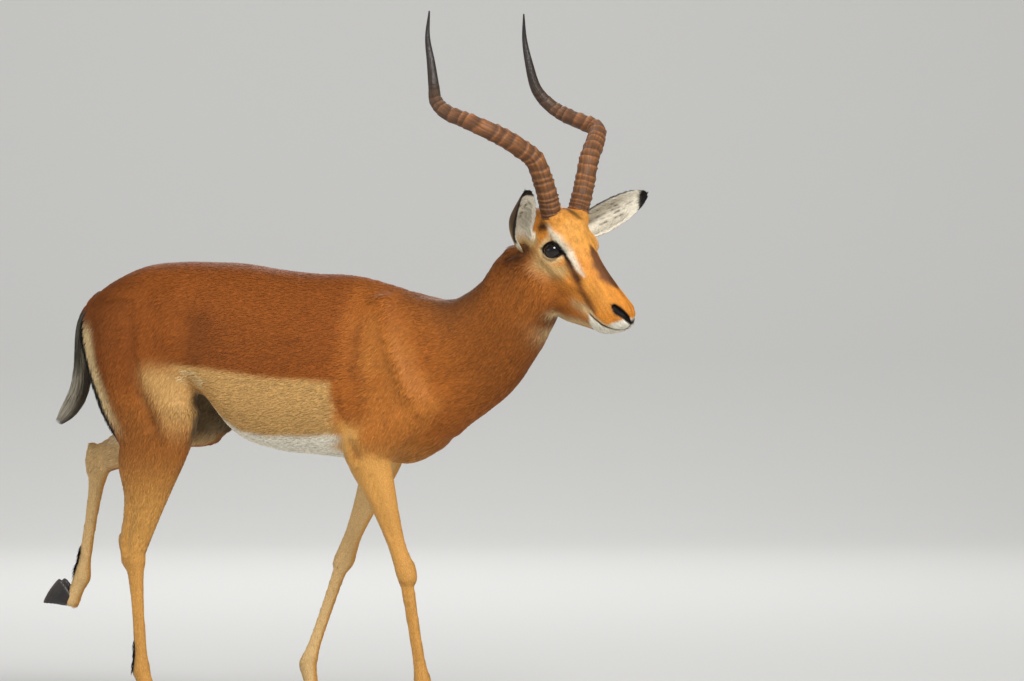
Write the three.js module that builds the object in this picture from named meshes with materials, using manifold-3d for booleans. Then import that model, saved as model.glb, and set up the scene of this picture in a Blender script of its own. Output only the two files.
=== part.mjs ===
// A male impala walking, life size, in millimetres.
// X runs to the chest, Y to the animal's left and Z up; the floor is Z = 0.
// Each sub-part is a loft: oval sections carried along a line of bones, joined or cut by its neighbours.

import * as THREE from 'three';
import { LoftGeometry } from 'three/addons/geometries/LoftGeometry.js';
import { mergeVertices } from 'three/addons/utils/BufferGeometryUtils.js';
import Module from 'manifold-3d';

const wasm = await Module();
wasm.setup();

// ---------------------------------------------------------------- driving dimensions

const GAP = 0.35; // clearance left where two sub-parts meet
const CENTRE = { x: 160, y: - 10 }; // middle of the whole animal's outline on the floor

// Cross-section of the body, from the buttocks to the breast.
// x, height of the widest point, rise to the back, drop to the belly, half width, top and bottom roundness
const TRUNK_ROWS = [
	[ - 370, 775, 62, 52, 52, 2.0, 2.0 ],
	[ - 350, 770, 94, 88, 78, 2.1, 2.0 ],
	[ - 300, 765, 128, 100, 96, 2.2, 2.0 ],
	[ - 240, 758, 157, 82, 105, 2.2, 2.0 ],
	[ - 170, 748, 174, 60, 108, 2.1, 2.0 ],
	[ - 100, 738, 184, 86, 112, 2.0, 2.1 ],
	[ - 30, 728, 191, 153, 118, 1.95, 2.2 ],
	[ 50, 718, 190, 169, 121, 1.85, 2.2 ],
	[ 130, 710, 191, 168, 118, 1.75, 2.2 ],
	[ 210, 702, 196, 167, 109, 1.65, 2.1 ],
	[ 280, 692, 192, 161, 99, 1.6, 2.0 ],
	[ 340, 682, 180, 152, 91, 1.7, 2.0 ],
	[ 395, 668, 150, 112, 76, 1.8, 2.0 ],
	[ 430, 654, 92, 68, 50, 2.0, 2.0 ],
];

// Neck line from inside the chest to inside the skull.
// x, y, z, rise to the nape, drop to the throat, half width
const NECK_ROWS = [
	[ 300, 0, 692, 150, 138, 84 ],
	[ 385, 0, 722, 148, 148, 80 ],
	[ 440, - 1, 738, 125, 125, 76 ],
	[ 485, - 3, 760, 110, 112, 72 ],
	[ 526, - 6, 792, 99, 99, 69 ],
	[ 556, - 12, 820, 95, 92, 67 ],
	[ 581, - 20, 851, 92, 88, 65 ],
	[ 603, - 27, 883, 88, 86, 62 ],
	[ 622, - 32, 915, 76, 84, 55 ],
];

// The head is set out from the point between the fronts of the horn bases.
const HEAD_ORIGIN = new THREE.Vector3( 683, - 35, 1021 );
const HEAD_YAW = THREE.MathUtils.degToRad( 13 ); // turned to the animal's right
const FACE_SLOPE = THREE.MathUtils.degToRad( 46.4 ); // of the bridge of the nose, below level

// distance along the face line, height of the top and of the underside over it, height of the widest
// point, half width there, top and bottom roundness
const HEAD_ROWS = [
	[ - 52, - 42, - 92, - 62, 34, 2.0, 2.0 ],
	[ - 30, - 14, - 116, - 54, 46, 2.1, 2.0 ],
	[ 0, 10, - 134, - 46, 53, 2.2, 1.9 ],
	[ 30, 16, - 146, - 44, 55, 2.1, 1.8 ],
	[ 58, 12, - 152, - 47, 54, 2.0, 1.8 ],
	[ 90, 3, - 156, - 52, 48, 2.0, 1.8 ],
	[ 120, - 4, - 154, - 54, 41, 2.1, 1.8 ],
	[ 150, - 6, - 143, - 52, 34, 2.2, 1.8 ],
	[ 180, - 6, - 124, - 48, 29, 2.3, 1.9 ],
	[ 208, - 6, - 106, - 44, 27, 2.4, 2.0 ],
	[ 232, - 7, - 93, - 41, 27, 2.4, 2.1 ],
	[ 250, - 13, - 73, - 38, 22, 2.3, 2.1 ],
	[ 259, - 21, - 57, - 37, 15, 2.2, 2.1 ],
];

const EYE = { along: 56, lift: - 47, side: 43, radius: 17.5 };
// Bony swellings of the skull on each side: the rim over the eye, and the stump that carries the horn.
const BROW = { along: 55, lift: - 20, side: 38, radii: [ 32, 24, 16 ] };
const HORN_STUMP = { along: 12, lift: - 12, side: 35, radii: [ 25, 24, 28 ] };

// Ears: base and direction from the head origin as forward, outward, upward.
const EAR_LENGTH = 168;
const EAR_HALF_WIDTH = 30;
const EARS = {
	left: { base: [ - 42, 72, - 46 ], axis: [ 0.66, 0.574, 0.488 ], opening: [ 0.8, - 0.6, 0 ] },
	right: { base: [ - 58, 60, - 65 ], axis: [ 0.57, 0.57, 0.59 ], opening: [ 0.79, - 0.17, - 0.59 ] },
};

// Horn line from the head origin: backward, outward, upward, radius.
const HORN_ROWS = [
	[ 2, 28, - 38, 20.5 ],
	[ 2, 37, - 12, 20.5 ],
	[ 2, 45, 9, 20.5 ],
	[ 2, 61, 50, 20 ],
	[ 8, 84, 100, 19.3 ],
	[ 21, 114, 124, 18.7 ],
	[ 37, 145, 144, 18 ],
	[ 63, 177, 163, 17 ],
	[ 105, 179, 178, 15.8 ],
	[ 147, 180, 192, 14.8 ],
	[ 180, 172, 214, 13.2 ],
	[ 197, 158, 243, 11.2 ],
	[ 209, 152, 289, 8.6 ],
	[ 219, 150, 338, 5.2 ],
	[ 218, 146, 388, 1.6 ],
];
const HORN_RIDGES = 17;
const HORN_RIDGE_SPAN = [ 0.12, 0.74 ]; // part of the horn's table that carries the ridges
const HORN_RIDGE_HEIGHT = 0.09; // of the radius

// Tail: x, y, z, outer side, inner side, half width, out to the tips of the hair.
const TAIL_ROWS = [
	[ - 362, 0, 842, 20, 18, 22 ],
	[ - 384, 0, 822, 17, 17, 22 ],
	[ - 399, 1, 785, 15, 14, 24 ],
	[ - 403, 2, 740, 15, 14, 26 ],
	[ - 405, 4, 695, 18, 17, 27 ],
	[ - 416, 6, 655, 20, 19, 25 ],
	[ - 438, 7, 621, 18, 17, 20 ],
	[ - 464, 7, 594, 7, 7, 9 ],
];

// Joints of each leg as [ x, y, z ]; left is +Y.
const LEGS = {
	foreleg_right: {
		scapula: [ 285, - 38, 835 ], shoulder: [ 378, - 60, 648 ], elbow: [ 272, - 68, 550 ],
		knee: [ 354, - 66, 322 ], fetlock: [ 390, - 60, 104 ], coronet: [ 411, - 60, 48 ],
		toe: [ 1, 0, 0 ],
	},
	foreleg_left: {
		scapula: [ 278, 38, 835 ], shoulder: [ 366, 60, 644 ], elbow: [ 248, 68, 558 ],
		knee: [ 153, 66, 336 ], fetlock: [ 76, 60, 124 ], coronet: [ 88, 60, 51 ],
		toe: [ 1, 0, 0 ],
	},
	hindleg_right: {
		stifle: [ - 146, - 72, 604 ], hock: [ - 252, - 56, 340 ], fetlock: [ - 240, - 50, 104 ],
		coronet: [ - 216, - 50, 48 ], toe: [ 1, 0, 0 ],
	},
	hindleg_left: {
		stifle: [ - 150, 74, 606 ], hock: [ - 402, 68, 508 ], fetlock: [ - 440, 62, 280 ],
		coronet: [ - 464, 60, 228 ], toe: [ - 0.62, 0, - 0.78 ],
	},
};

// Flesh over a bone: place along it, reach to the front, to the back, and half width.
const SCAPULA_FLESH = [
	[ - 0.05, 40, 50, 24 ],
	[ 0.25, 50, 62, 38 ],
	[ 0.6, 50, 70, 46 ],
	[ 0.9, 44, 66, 43 ],
	[ 1.1, 34, 46, 34 ],
];
const UPPER_ARM_FLESH = [
	[ - 0.2, 36, 34, 29 ],
	[ 0.15, 45, 62, 38 ],
	[ 0.5, 46, 74, 39 ],
	[ 0.85, 42, 60, 35 ],
	[ 1.12, 34, 36, 27 ],
];
const FOREARM_FLESH = [
	[ - 0.16, 40, 44, 30 ],
	[ 0.06, 42, 46, 32 ],
	[ 0.25, 38, 36, 29 ],
	[ 0.5, 28, 25, 23 ],
	[ 0.75, 20, 19, 18.5 ],
	[ 0.9, 20, 19, 19.5 ],
	[ 1.0, 22, 20, 21 ],
	[ 1.08, 19, 20, 19 ],
];
const FORE_CANNON_FLESH = [
	[ - 0.06, 20, 19, 19 ],
	[ 0.05, 18, 18, 17.5 ],
	[ 0.16, 14.5, 15, 14.5 ],
	[ 0.5, 12.5, 14, 12.5 ],
	[ 0.82, 13, 15, 13 ],
	[ 0.94, 17, 18, 17 ],
];

// The thigh is cut by level planes: x, distance from the middle plane, z, front, back, half width.
const THIGH_ROWS = [
	[ - 232, 52, 842, 88, 98, 42 ],
	[ - 228, 58, 800, 104, 136, 51 ],
	[ - 224, 62, 750, 110, 140, 54 ],
	[ - 212, 65, 700, 100, 138, 54 ],
	[ - 200, 67, 650, 89, 132, 51 ],
	[ - 194, 68, 608, 82, 118, 46 ],
	[ - 190, 68, 572, 68, 100, 38 ],
];
const GASKIN_FLESH = [
	[ - 0.12, 34, 60, 36 ],
	[ 0.05, 40, 104, 42 ],
	[ 0.25, 38, 108, 40 ],
	[ 0.45, 32, 96, 33 ],
	[ 0.65, 27, 62, 26 ],
	[ 0.85, 23, 47, 21 ],
	[ 1.0, 20, 39, 18 ],
	[ 1.1, 15, 30, 14 ],
];
const HIND_CANNON_FLESH = [
	[ - 0.17, 12, 38, 11 ],
	[ - 0.06, 21, 39, 18 ],
	[ 0.05, 22, 29, 20 ],
	[ 0.2, 16, 19, 15.5 ],
	[ 0.5, 13, 15, 13 ],
	[ 0.82, 13.5, 15.5, 13.5 ],
	[ 0.94, 17, 18.5, 17 ],
];
// Fetlock to coronet, shared by all four feet.
const PASTERN_FLESH = [
	[ 0.0, 18, 19, 18 ],
	[ 0.35, 15, 16.5, 16 ],
	[ 0.7, 15, 16, 17 ],
	[ 1.0, 17, 18, 19 ],
];

// One claw of a hoof, in the foot's own frame: along the toe from the coronet, height over the sole.
const CLAW = { heel: - 24, toe: 39, width: 17.5, splay: 10.6, height: 47 };

// ---------------------------------------------------------------- lofts

const vector = ( xyz ) => new THREE.Vector3( ...xyz );
const FORWARD = vector( [ 1, 0, 0 ] );
const UP = vector( [ 0, 0, 1 ] );

// Smooth curve through table columns taken three at a time.
function columnsCurve( rows, first ) {

	const points = rows.map( ( row ) => vector( row.slice( first, first + 3 ) ) );
	return new THREE.CatmullRomCurve3( points, false, 'catmullrom', 0.5 );

}

// Point of a rounded section; power 2 is an ellipse, more is squarer and less is more pointed.
function ovalPoint( angle, side, front, back, frontPower, backPower ) {

	const cos = Math.cos( angle );
	const sin = Math.sin( angle );
	const power = sin > 0 ? frontPower : backPower;
	const across = side * Math.sign( cos ) * Math.abs( cos ) ** ( 2 / power );
	const reach = ( sin > 0 ? front : back ) * Math.sign( sin ) * Math.abs( sin ) ** ( 2 / power );
	return [ across, reach ];

}

// Rows are x, y, z, front, back, side, and front and back roundness where a table has them.
// The section stands square to the line, or keeps the fixed normal given as options.normal.
function loft( rows, front, options = {} ) {

	const { sides = 8, grow = 0, dome = 0.5, normal = null } = options;
	const full = rows.map( ( row ) => [ ...row.slice( 0, 6 ), row[ 6 ] ?? 2, row[ 7 ] ?? 2, 0 ] );
	const line = columnsCurve( full, 0 );
	const sizes = columnsCurve( full, 3 );
	const powers = columnsCurve( full, 6 );
	const count = rows.length - 1;
	const sections = [];

	// shrink narrows the section and shift moves it along the line, for the domed ends.
	function addSection( t, shrink, shift ) {

		const centre = line.getPoint( t );
		const tangent = normal ?? line.getTangent( t );
		const upward = front.clone().addScaledVector( tangent, - front.dot( tangent ) ).normalize();
		const left = upward.clone().cross( tangent ).normalize();
		const size = sizes.getPoint( t );
		const power = powers.getPoint( t );
		centre.addScaledVector( tangent, shift );
		const ring = [];
		for ( let i = 0; i < sides; i ++ ) {

			const [ across, reach ] = ovalPoint(
				2 * Math.PI * i / sides,
				( size.z + grow ) * shrink, ( size.x + grow ) * shrink, ( size.y + grow ) * shrink,
				power.x, power.y,
			);
			ring.push( centre.clone().addScaledVector( left, across ).addScaledVector( upward, reach ) );

		}

		sections.push( ring );

	}

	// Rows at the ends are drawn in to a dome as deep as dome times the smaller half size.
	const domeAngles = [ 68, 34 ].map( ( degrees ) => THREE.MathUtils.degToRad( degrees ) );
	const depthAt = ( t ) => dome * Math.min( sizes.getPoint( t ).x, sizes.getPoint( t ).z ) + grow;
	for ( const angle of domeAngles ) addSection( 0, Math.cos( angle ), - depthAt( 0 ) * Math.sin( angle ) );
	for ( let i = 0; i <= count; i ++ ) addSection( i / count, 1, 0 );
	domeAngles.reverse();
	for ( const angle of domeAngles ) addSection( 1, Math.cos( angle ), depthAt( 1 ) * Math.sin( angle ) );

	return new LoftGeometry( sections, { capStart: true, capEnd: true } );

}

// Rows of flesh [ place, front, back, side ] set on the bone between two joints.
function alongBone( start, end, flesh ) {

	return flesh.map( ( [ place, ...sizes ] ) => [
		...vector( start ).lerp( vector( end ), place ).toArray(), ...sizes,
	] );

}

// ---------------------------------------------------------------- solids

function toSolid( geometry ) {

	const bare = new THREE.BufferGeometry().copy( geometry );
	bare.deleteAttribute( 'normal' );
	bare.deleteAttribute( 'uv' );
	const merged = mergeVertices( bare, 1e-3 );
	return new wasm.Manifold( new wasm.Mesh( {
		numProp: 3,
		vertProperties: new Float32Array( merged.attributes.position.array ),
		triVerts: new Uint32Array( merged.index.array ),
	} ) );

}

function toGeometry( solid ) {

	const mesh = solid.getMesh();
	const geometry = new THREE.BufferGeometry();
	geometry.setAttribute( 'position', new THREE.BufferAttribute( mesh.vertProperties, 3 ) );
	geometry.setIndex( new THREE.BufferAttribute( mesh.triVerts, 1 ) );
	geometry.computeVertexNormals();
	return geometry;

}

const joined = ( solids ) => solids.reduce( ( whole, solid ) => whole.add( solid ) );
const cutBy = ( solid, cutters ) => cutters.reduce( ( rest, cutter ) => rest.subtract( cutter ), solid );

// ---------------------------------------------------------------- body

function trunkSolid( grow ) {

	const rows = TRUNK_ROWS.map( ( [ x, z, rise, drop, half, top, bottom ] ) =>
		[ x, 0, z, rise, drop, half, top, bottom ] );
	return toSolid( loft( rows, UP, { sides: 16, grow, dome: 0.28, normal: FORWARD } ) );

}

function neckSolid( grow ) {

	return toSolid( loft( NECK_ROWS, UP, { sides: 12, grow } ) );

}

function tailSolid( grow ) {

	return toSolid( loft( TAIL_ROWS, FORWARD.clone().negate(), { grow } ) );

}

// ---------------------------------------------------------------- legs

const side = ( name ) => ( name.endsWith( 'left' ) ? 1 : - 1 );

function forelegSolid( name, grow ) {

	const { scapula, shoulder, elbow, knee, fetlock, coronet } = LEGS[ name ];
	const upper = [
		loft( alongBone( scapula, shoulder, SCAPULA_FLESH ), FORWARD, { grow } ),
		loft( alongBone( shoulder, elbow, UPPER_ARM_FLESH ), FORWARD, { grow } ),
	];
	const forearm = alongBone( elbow, knee, FOREARM_FLESH );
	const cannon = [
		...alongBone( knee, fetlock, FORE_CANNON_FLESH ),
		...alongBone( fetlock, coronet, PASTERN_FLESH ),
	];
	const lower = [ forearm, cannon ].map( ( rows ) => loft( rows, FORWARD, { grow } ) );
	return joined( [ ...upper, ...lower ].map( toSolid ) );

}

function hindlegSolid( name, grow ) {

	const { stifle, hock, fetlock, coronet } = LEGS[ name ];
	const thigh = THIGH_ROWS.map( ( [ x, out, ...rest ] ) => [ x, side( name ) * out, ...rest ] );
	const down = UP.clone().negate();
	const gaskin = alongBone( stifle, hock, GASKIN_FLESH );
	const cannon = [
		...alongBone( hock, fetlock, HIND_CANNON_FLESH ),
		...alongBone( fetlock, coronet, PASTERN_FLESH ),
	];
	return joined( [
		loft( thigh, FORWARD, { sides: 10, grow, normal: down, dome: 0.7 } ),
		loft( gaskin, FORWARD, { grow } ),
		loft( cannon, FORWARD, { grow } ),
	].map( toSolid ) );

}

// A claw is lofted from its flat sole up to the coronet.
function clawGeometry( outward ) {

	const { heel, toe, width, splay, height } = CLAW;
	const levels = [
		{ at: 0, toe: toe, heel: heel, half: width / 2 },
		{ at: 0.12, toe: toe - 3, heel: heel - 2, half: width / 2 },
		{ at: 0.5, toe: toe - 16, heel: heel + 1, half: width / 2 },
		{ at: 0.85, toe: toe - 26, heel: heel + 6, half: width / 2 - 1.5 },
		{ at: 1, toe: toe - 31, heel: heel + 11, half: width / 2 - 4 },
	];
	const points = 8;
	const sections = levels.map( ( level ) => {

		const ring = [];
		for ( let i = 0; i < points; i ++ ) {

			const angle = 2 * Math.PI * i / points;
			const forward = Math.cos( angle );
			const reach = forward > 0 ? level.toe : - level.heel;
			const pinch = forward > 0 ? 1 - 0.45 * forward ** 2 : 1;
			const across = Math.sin( angle ) * level.half * pinch;
			const inward = forward > 0 ? - outward * 3 * forward ** 2 : 0;
			ring.push( new THREE.Vector3( forward * reach, outward * splay + across + inward, level.at * height ) );

		}

		return ring;

	} );
	return new LoftGeometry( sections, { capStart: true, capEnd: true } );

}

// Frame of a foot: origin under the coronet on the sole plane, X to the toe.
function footMatrix( { coronet, toe } ) {

	const forward = vector( toe ).normalize();
	const left = UP.clone().cross( FORWARD );
	const upward = forward.clone().cross( left );
	const origin = vector( coronet ).addScaledVector( upward, - CLAW.height - 1 );
	if ( toe[ 2 ] === 0 ) origin.z = 0;
	return new THREE.Matrix4().makeBasis( forward, left, upward ).setPosition( origin );

}

// ---------------------------------------------------------------- head

// Head directions: heading is level, along runs down the face to the nose, lift stands up from the face.
const heading = vector( [ Math.cos( HEAD_YAW ), - Math.sin( HEAD_YAW ), 0 ] );
const headLeft = UP.clone().cross( heading );
const along = heading.clone().multiplyScalar( Math.cos( FACE_SLOPE ) )
	.addScaledVector( UP, - Math.sin( FACE_SLOPE ) );
const lift = heading.clone().multiplyScalar( Math.sin( FACE_SLOPE ) )
	.addScaledVector( UP, Math.cos( FACE_SLOPE ) );

function facePoint( a, p, left ) {

	return HEAD_ORIGIN.clone().addScaledVector( along, a ).addScaledVector( lift, p )
		.addScaledVector( headLeft, left );

}

function levelPoint( forward, left, up ) {

	return HEAD_ORIGIN.clone().addScaledVector( heading, forward ).addScaledVector( headLeft, left )
		.addScaledVector( UP, up );

}

function swellingSolid( { along: a, lift: p, side, radii }, sideSign, grow ) {

	const bump = new THREE.SphereGeometry( 1, 10, 6 );
	bump.scale( ...radii.map( ( radius ) => radius + grow ) );
	const axes = new THREE.Matrix4().makeBasis( along, headLeft, lift );
	bump.applyMatrix4( axes.setPosition( facePoint( a, p, sideSign * side ) ) );
	return toSolid( bump );

}

function skullSolid( grow ) {

	const rows = HEAD_ROWS.map( ( [ a, top, bottom, widest, half, topPower, bottomPower ] ) => [
		...facePoint( a, widest, 0 ).toArray(),
		top - widest, widest - bottom, half, topPower, bottomPower,
	] );
	const skull = toSolid( loft( rows, lift, { sides: 16, grow, dome: 0.45, normal: along } ) );
	const swellings = [ BROW, HORN_STUMP ].flatMap( ( bump ) =>
		[ - 1, 1 ].map( ( sign ) => swellingSolid( bump, sign, grow ) ) );
	return joined( [ skull, ...swellings ] );

}

function eyeSolid( sideSign, grow ) {

	const centre = facePoint( EYE.along, EYE.lift, sideSign * EYE.side );
	const ball = new THREE.SphereGeometry( EYE.radius + grow, 10, 7 );
	ball.translate( centre.x, centre.y, centre.z );
	return toSolid( ball );

}

// An ear is a leaf whose sections are crescents, open towards the front.
function earSolid( name ) {

	const { base, axis, opening } = EARS[ name ];
	const sign = name === 'left' ? 1 : - 1;
	const direction = ( [ forward, outward, up ] ) => heading.clone().multiplyScalar( forward )
		.addScaledVector( headLeft, sign * outward ).addScaledVector( UP, up ).normalize();
	const start = levelPoint( base[ 0 ], sign * base[ 1 ], base[ 2 ] );
	const stem = direction( axis );
	const hollow = direction( opening );
	hollow.addScaledVector( stem, - hollow.dot( stem ) ).normalize();
	const across = hollow.clone().cross( stem );
	const rings = 8;
	const spans = 7;
	const sections = [];
	for ( let i = 0; i <= rings; i ++ ) {

		const s = i / rings;
		const half = EAR_HALF_WIDTH * ( 0.42 + 0.58 * Math.sin( Math.PI * Math.min( s / 0.45, 1 ) / 2 ) )
			* Math.sqrt( Math.max( 1 - ( Math.max( s - 0.45, 0 ) / 0.56 ) ** 2, 0.004 ) );
		const depth = half * ( 1.7 - 1.3 * s );
		const fill = 16 * ( 1 - THREE.MathUtils.smoothstep( s, 0, 0.3 ) ); // the root is closed
		const bend = - 12 * s * s;
		const centre = start.clone().addScaledVector( stem, s * EAR_LENGTH ).addScaledVector( hollow, bend );
		const place = ( u, reach ) => centre.clone().addScaledVector( across, half * u )
			.addScaledVector( hollow, reach );
		const ring = [];
		for ( let k = 0; k < spans; k ++ ) {

			const u = 1 - 2 * k / ( spans - 1 );
			ring.push( place( u, - depth * ( 1 - u * u ) + 0.6 ) );

		}

		for ( let k = 1; k < spans - 1; k ++ ) {

			const u = - 1 + 2 * k / ( spans - 1 );
			const wall = 2.4 * Math.hypot( 1, 2 * depth * u / half ) + fill;
			ring.push( place( u, - depth * ( 1 - u * u ) + 0.6 + wall * Math.sqrt( 1 - u * u ) ) );

		}

		sections.push( ring.reverse() );

	}

	return toSolid( new LoftGeometry( sections, { capStart: true, capEnd: true } ) );

}

// Ridged lower part, smooth tip; two sections to each ridge.
function hornSolid( name ) {

	const sign = name === 'left' ? 1 : - 1;
	const rows = HORN_ROWS.map( ( [ back, outward, up ] ) =>
		levelPoint( - back, sign * outward, up ).toArray() );
	const line = columnsCurve( rows, 0 );
	const radii = columnsCurve( HORN_ROWS.map( ( row ) => [ row[ 3 ], 0, 0 ] ), 0 );
	const [ first, last ] = HORN_RIDGE_SPAN;
	const stops = [ 0, first / 2 ];
	for ( let i = 0; i <= 2 * HORN_RIDGES; i ++ ) {

		stops.push( first + ( last - first ) * i / ( 2 * HORN_RIDGES ) );

	}

	for ( let i = 1; i <= 6; i ++ ) stops.push( last + ( 1 - last ) * i / 6 );
	const sides = 8;
	const sections = stops.map( ( t ) => {

		const centre = line.getPoint( t );
		const tangent = line.getTangent( t );
		const upward = lift.clone().addScaledVector( tangent, - lift.dot( tangent ) ).normalize();
		const left = upward.clone().cross( tangent );
		const phase = THREE.MathUtils.clamp( ( t - first ) / ( last - first ), 0, 1 ) * HORN_RIDGES;
		const crest = 0.5 - 0.5 * Math.cos( 2 * Math.PI * phase );
		const radius = radii.getPoint( t ).x * ( 1 + HORN_RIDGE_HEIGHT * crest );
		const ring = [];
		for ( let i = 0; i < sides; i ++ ) {

			const angle = 2 * Math.PI * i / sides;
			ring.push( centre.clone().addScaledVector( left, radius * Math.cos( angle ) )
				.addScaledVector( upward, radius * Math.sin( angle ) ) );

		}

		return ring;

	} );
	return toSolid( new LoftGeometry( sections, { capStart: true, capEnd: true } ) );

}

// ---------------------------------------------------------------- assembly

const COLOURS = {
	coat: 0x8f5a34,
	legs: 0xa9794f,
	face: 0xa26a3c,
	ear: 0xb9a48c,
	tail: 0xd8cdbd,
	horn: 0x4a3629,
	eye: 0x140d0a,
	hoof: 0x1c1816,
};

const impala = new THREE.Group();
impala.position.set( - CENTRE.x, - CENTRE.y, 0 );

function addPart( name, solid, colour, roughness = 0.85 ) {

	const material = new THREE.MeshStandardMaterial( { color: COLOURS[ colour ], roughness, metalness: 0 } );
	const mesh = new THREE.Mesh( toGeometry( solid ), material );
	mesh.name = name;
	impala.add( mesh );

}

const legSolid = ( name, grow ) =>
	name.startsWith( 'fore' ) ? forelegSolid( name, grow ) : hindlegSolid( name, grow );
const grownLegs = Object.keys( LEGS ).map( ( name ) => legSolid( name, GAP ) );
const grownTrunk = trunkSolid( GAP );
const grownSkull = skullSolid( GAP );

addPart( 'trunk', cutBy( trunkSolid( 0 ), grownLegs ), 'coat' );
addPart( 'neck', cutBy( neckSolid( 0 ), [ grownTrunk, grownSkull, ...grownLegs ] ), 'coat' );
addPart( 'tail', cutBy( tailSolid( 0 ), [ grownTrunk, ...grownLegs ] ), 'tail' );
addPart( 'head', cutBy( skullSolid( 0 ), [ - 1, 1 ].map( ( sign ) => eyeSolid( sign, GAP ) ) ), 'face' );

for ( const [ name, sign ] of [ [ 'left', 1 ], [ 'right', - 1 ] ] ) {

	addPart( `eye_${ name }`, eyeSolid( sign, 0 ), 'eye', 0.1 );
	addPart( `ear_${ name }`, cutBy( earSolid( name ), [ grownSkull, neckSolid( GAP ) ] ), 'ear' );
	addPart( `horn_${ name }`, cutBy( hornSolid( name ), [ grownSkull ] ), 'horn', 0.6 );

}

for ( const [ name, leg ] of Object.entries( LEGS ) ) {

	const claws = [ - 1, 1 ].map( ( outward ) => {

		const geometry = clawGeometry( outward );
		geometry.applyMatrix4( footMatrix( leg ) );
		return { solid: toSolid( geometry ), inner: outward === - side( name ) };

	} );
	const limb = legSolid( name, 0 );
	addPart( name, limb, 'legs' );
	for ( const { solid, inner } of claws ) {

		const clawName = `${ name.replace( 'leg', 'hoof' ) }_${ inner ? 'inner' : 'outer' }`;
		addPart( clawName, cutBy( solid, [ legSolid( name, GAP ) ] ), 'hoof', 0.5 );

	}

}

export default impala;
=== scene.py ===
"""A male impala walking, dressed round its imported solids.

One skin with its markings stands for the flesh, tufts of coat lie over it, and the eyes, horns and
claws are pieces of their own. Shapes are worked out in millimetres in the workshop frame of the part,
X to the chest, Y to the animal's left and Z up, and become metres when a mesh is made.
"""

import math

import bmesh
import bpy
import numpy as np
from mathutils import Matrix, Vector


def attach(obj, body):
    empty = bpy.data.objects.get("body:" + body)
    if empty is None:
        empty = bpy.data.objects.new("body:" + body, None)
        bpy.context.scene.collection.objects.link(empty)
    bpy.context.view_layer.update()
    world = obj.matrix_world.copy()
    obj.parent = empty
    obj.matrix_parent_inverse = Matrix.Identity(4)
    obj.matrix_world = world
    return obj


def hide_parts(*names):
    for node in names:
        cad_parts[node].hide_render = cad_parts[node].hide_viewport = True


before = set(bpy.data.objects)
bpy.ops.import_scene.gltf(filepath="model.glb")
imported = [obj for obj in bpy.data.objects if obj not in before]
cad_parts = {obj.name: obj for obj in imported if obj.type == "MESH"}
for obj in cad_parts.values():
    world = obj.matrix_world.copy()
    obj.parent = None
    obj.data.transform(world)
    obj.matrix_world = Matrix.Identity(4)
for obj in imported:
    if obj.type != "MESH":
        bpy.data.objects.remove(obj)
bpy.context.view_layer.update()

CENTRE = np.array([160.0, -10.0, 0.0])  # middle of the whole animal's outline on the floor
FORWARD = np.array([1.0, 0.0, 0.0])
UP = np.array([0.0, 0.0, 1.0])

# ---------------------------------------------------------------- sizes, as in the solids

# x, height of the widest point, rise to the back, drop to the belly, half width, top and bottom roundness
TRUNK_ROWS = [
    [-370, 775, 62, 52, 52, 2.0, 2.0],
    [-350, 770, 94, 88, 78, 2.1, 2.0],
    [-300, 765, 128, 100, 96, 2.2, 2.0],
    [-240, 758, 157, 82, 105, 2.2, 2.0],
    [-170, 748, 174, 60, 108, 2.1, 2.0],
    [-100, 738, 184, 86, 112, 2.0, 2.1],
    [-30, 728, 191, 153, 118, 1.95, 2.2],
    [50, 718, 190, 169, 121, 1.85, 2.2],
    [130, 710, 191, 168, 118, 1.75, 2.2],
    [210, 702, 196, 167, 109, 1.65, 2.1],
    [280, 692, 192, 161, 99, 1.6, 2.0],
    [340, 682, 180, 152, 91, 1.7, 2.0],
    [395, 668, 150, 112, 76, 1.8, 2.0],
    [430, 654, 92, 68, 50, 2.0, 2.0],
]

# x, y, z, rise to the nape, drop to the throat, half width
NECK_ROWS = [
    [300, 0, 692, 150, 138, 84],
    [385, 0, 722, 148, 148, 80],
    [440, -1, 738, 125, 125, 76],
    [485, -3, 760, 110, 112, 72],
    [526, -6, 792, 99, 99, 69],
    [556, -12, 820, 95, 92, 67],
    [581, -20, 851, 92, 88, 65],
    [603, -27, 883, 88, 86, 62],
    [622, -32, 915, 76, 84, 55],
]

HEAD_ORIGIN = np.array([683.0, -35.0, 1021.0])  # between the fronts of the horn bases
HEAD_YAW = math.radians(13)
FACE_SLOPE = math.radians(46.4)
# distance along the face line, top, underside, widest point, half width, top and bottom roundness
HEAD_ROWS = [
    [-52, -42, -92, -62, 34, 2.0, 2.0],
    [-30, -14, -116, -54, 46, 2.1, 2.0],
    [0, 10, -134, -46, 53, 2.2, 1.9],
    [30, 16, -146, -44, 55, 2.1, 1.8],
    [58, 12, -152, -47, 54, 2.0, 1.8],
    [90, 3, -156, -52, 48, 2.0, 1.8],
    [120, -4, -154, -54, 41, 2.1, 1.8],
    [150, -6, -143, -52, 34, 2.2, 1.8],
    [180, -6, -124, -48, 29, 2.3, 1.9],
    [208, -6, -106, -44, 27, 2.4, 2.0],
    [232, -7, -93, -41, 27, 2.4, 2.1],
    [250, -13, -73, -38, 22, 2.3, 2.1],
    [259, -21, -57, -37, 15, 2.2, 2.1],
]
# bony rim over the eye, and the stump that carries the horn
SWELLINGS = [
    {"centre": (55, -20, 38), "radii": (32, 24, 16)},
    {"centre": (12, -12, 35), "radii": (25, 24, 28)},
]

EAR_LENGTH = 168
EAR_HALF_WIDTH = 30
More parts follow.
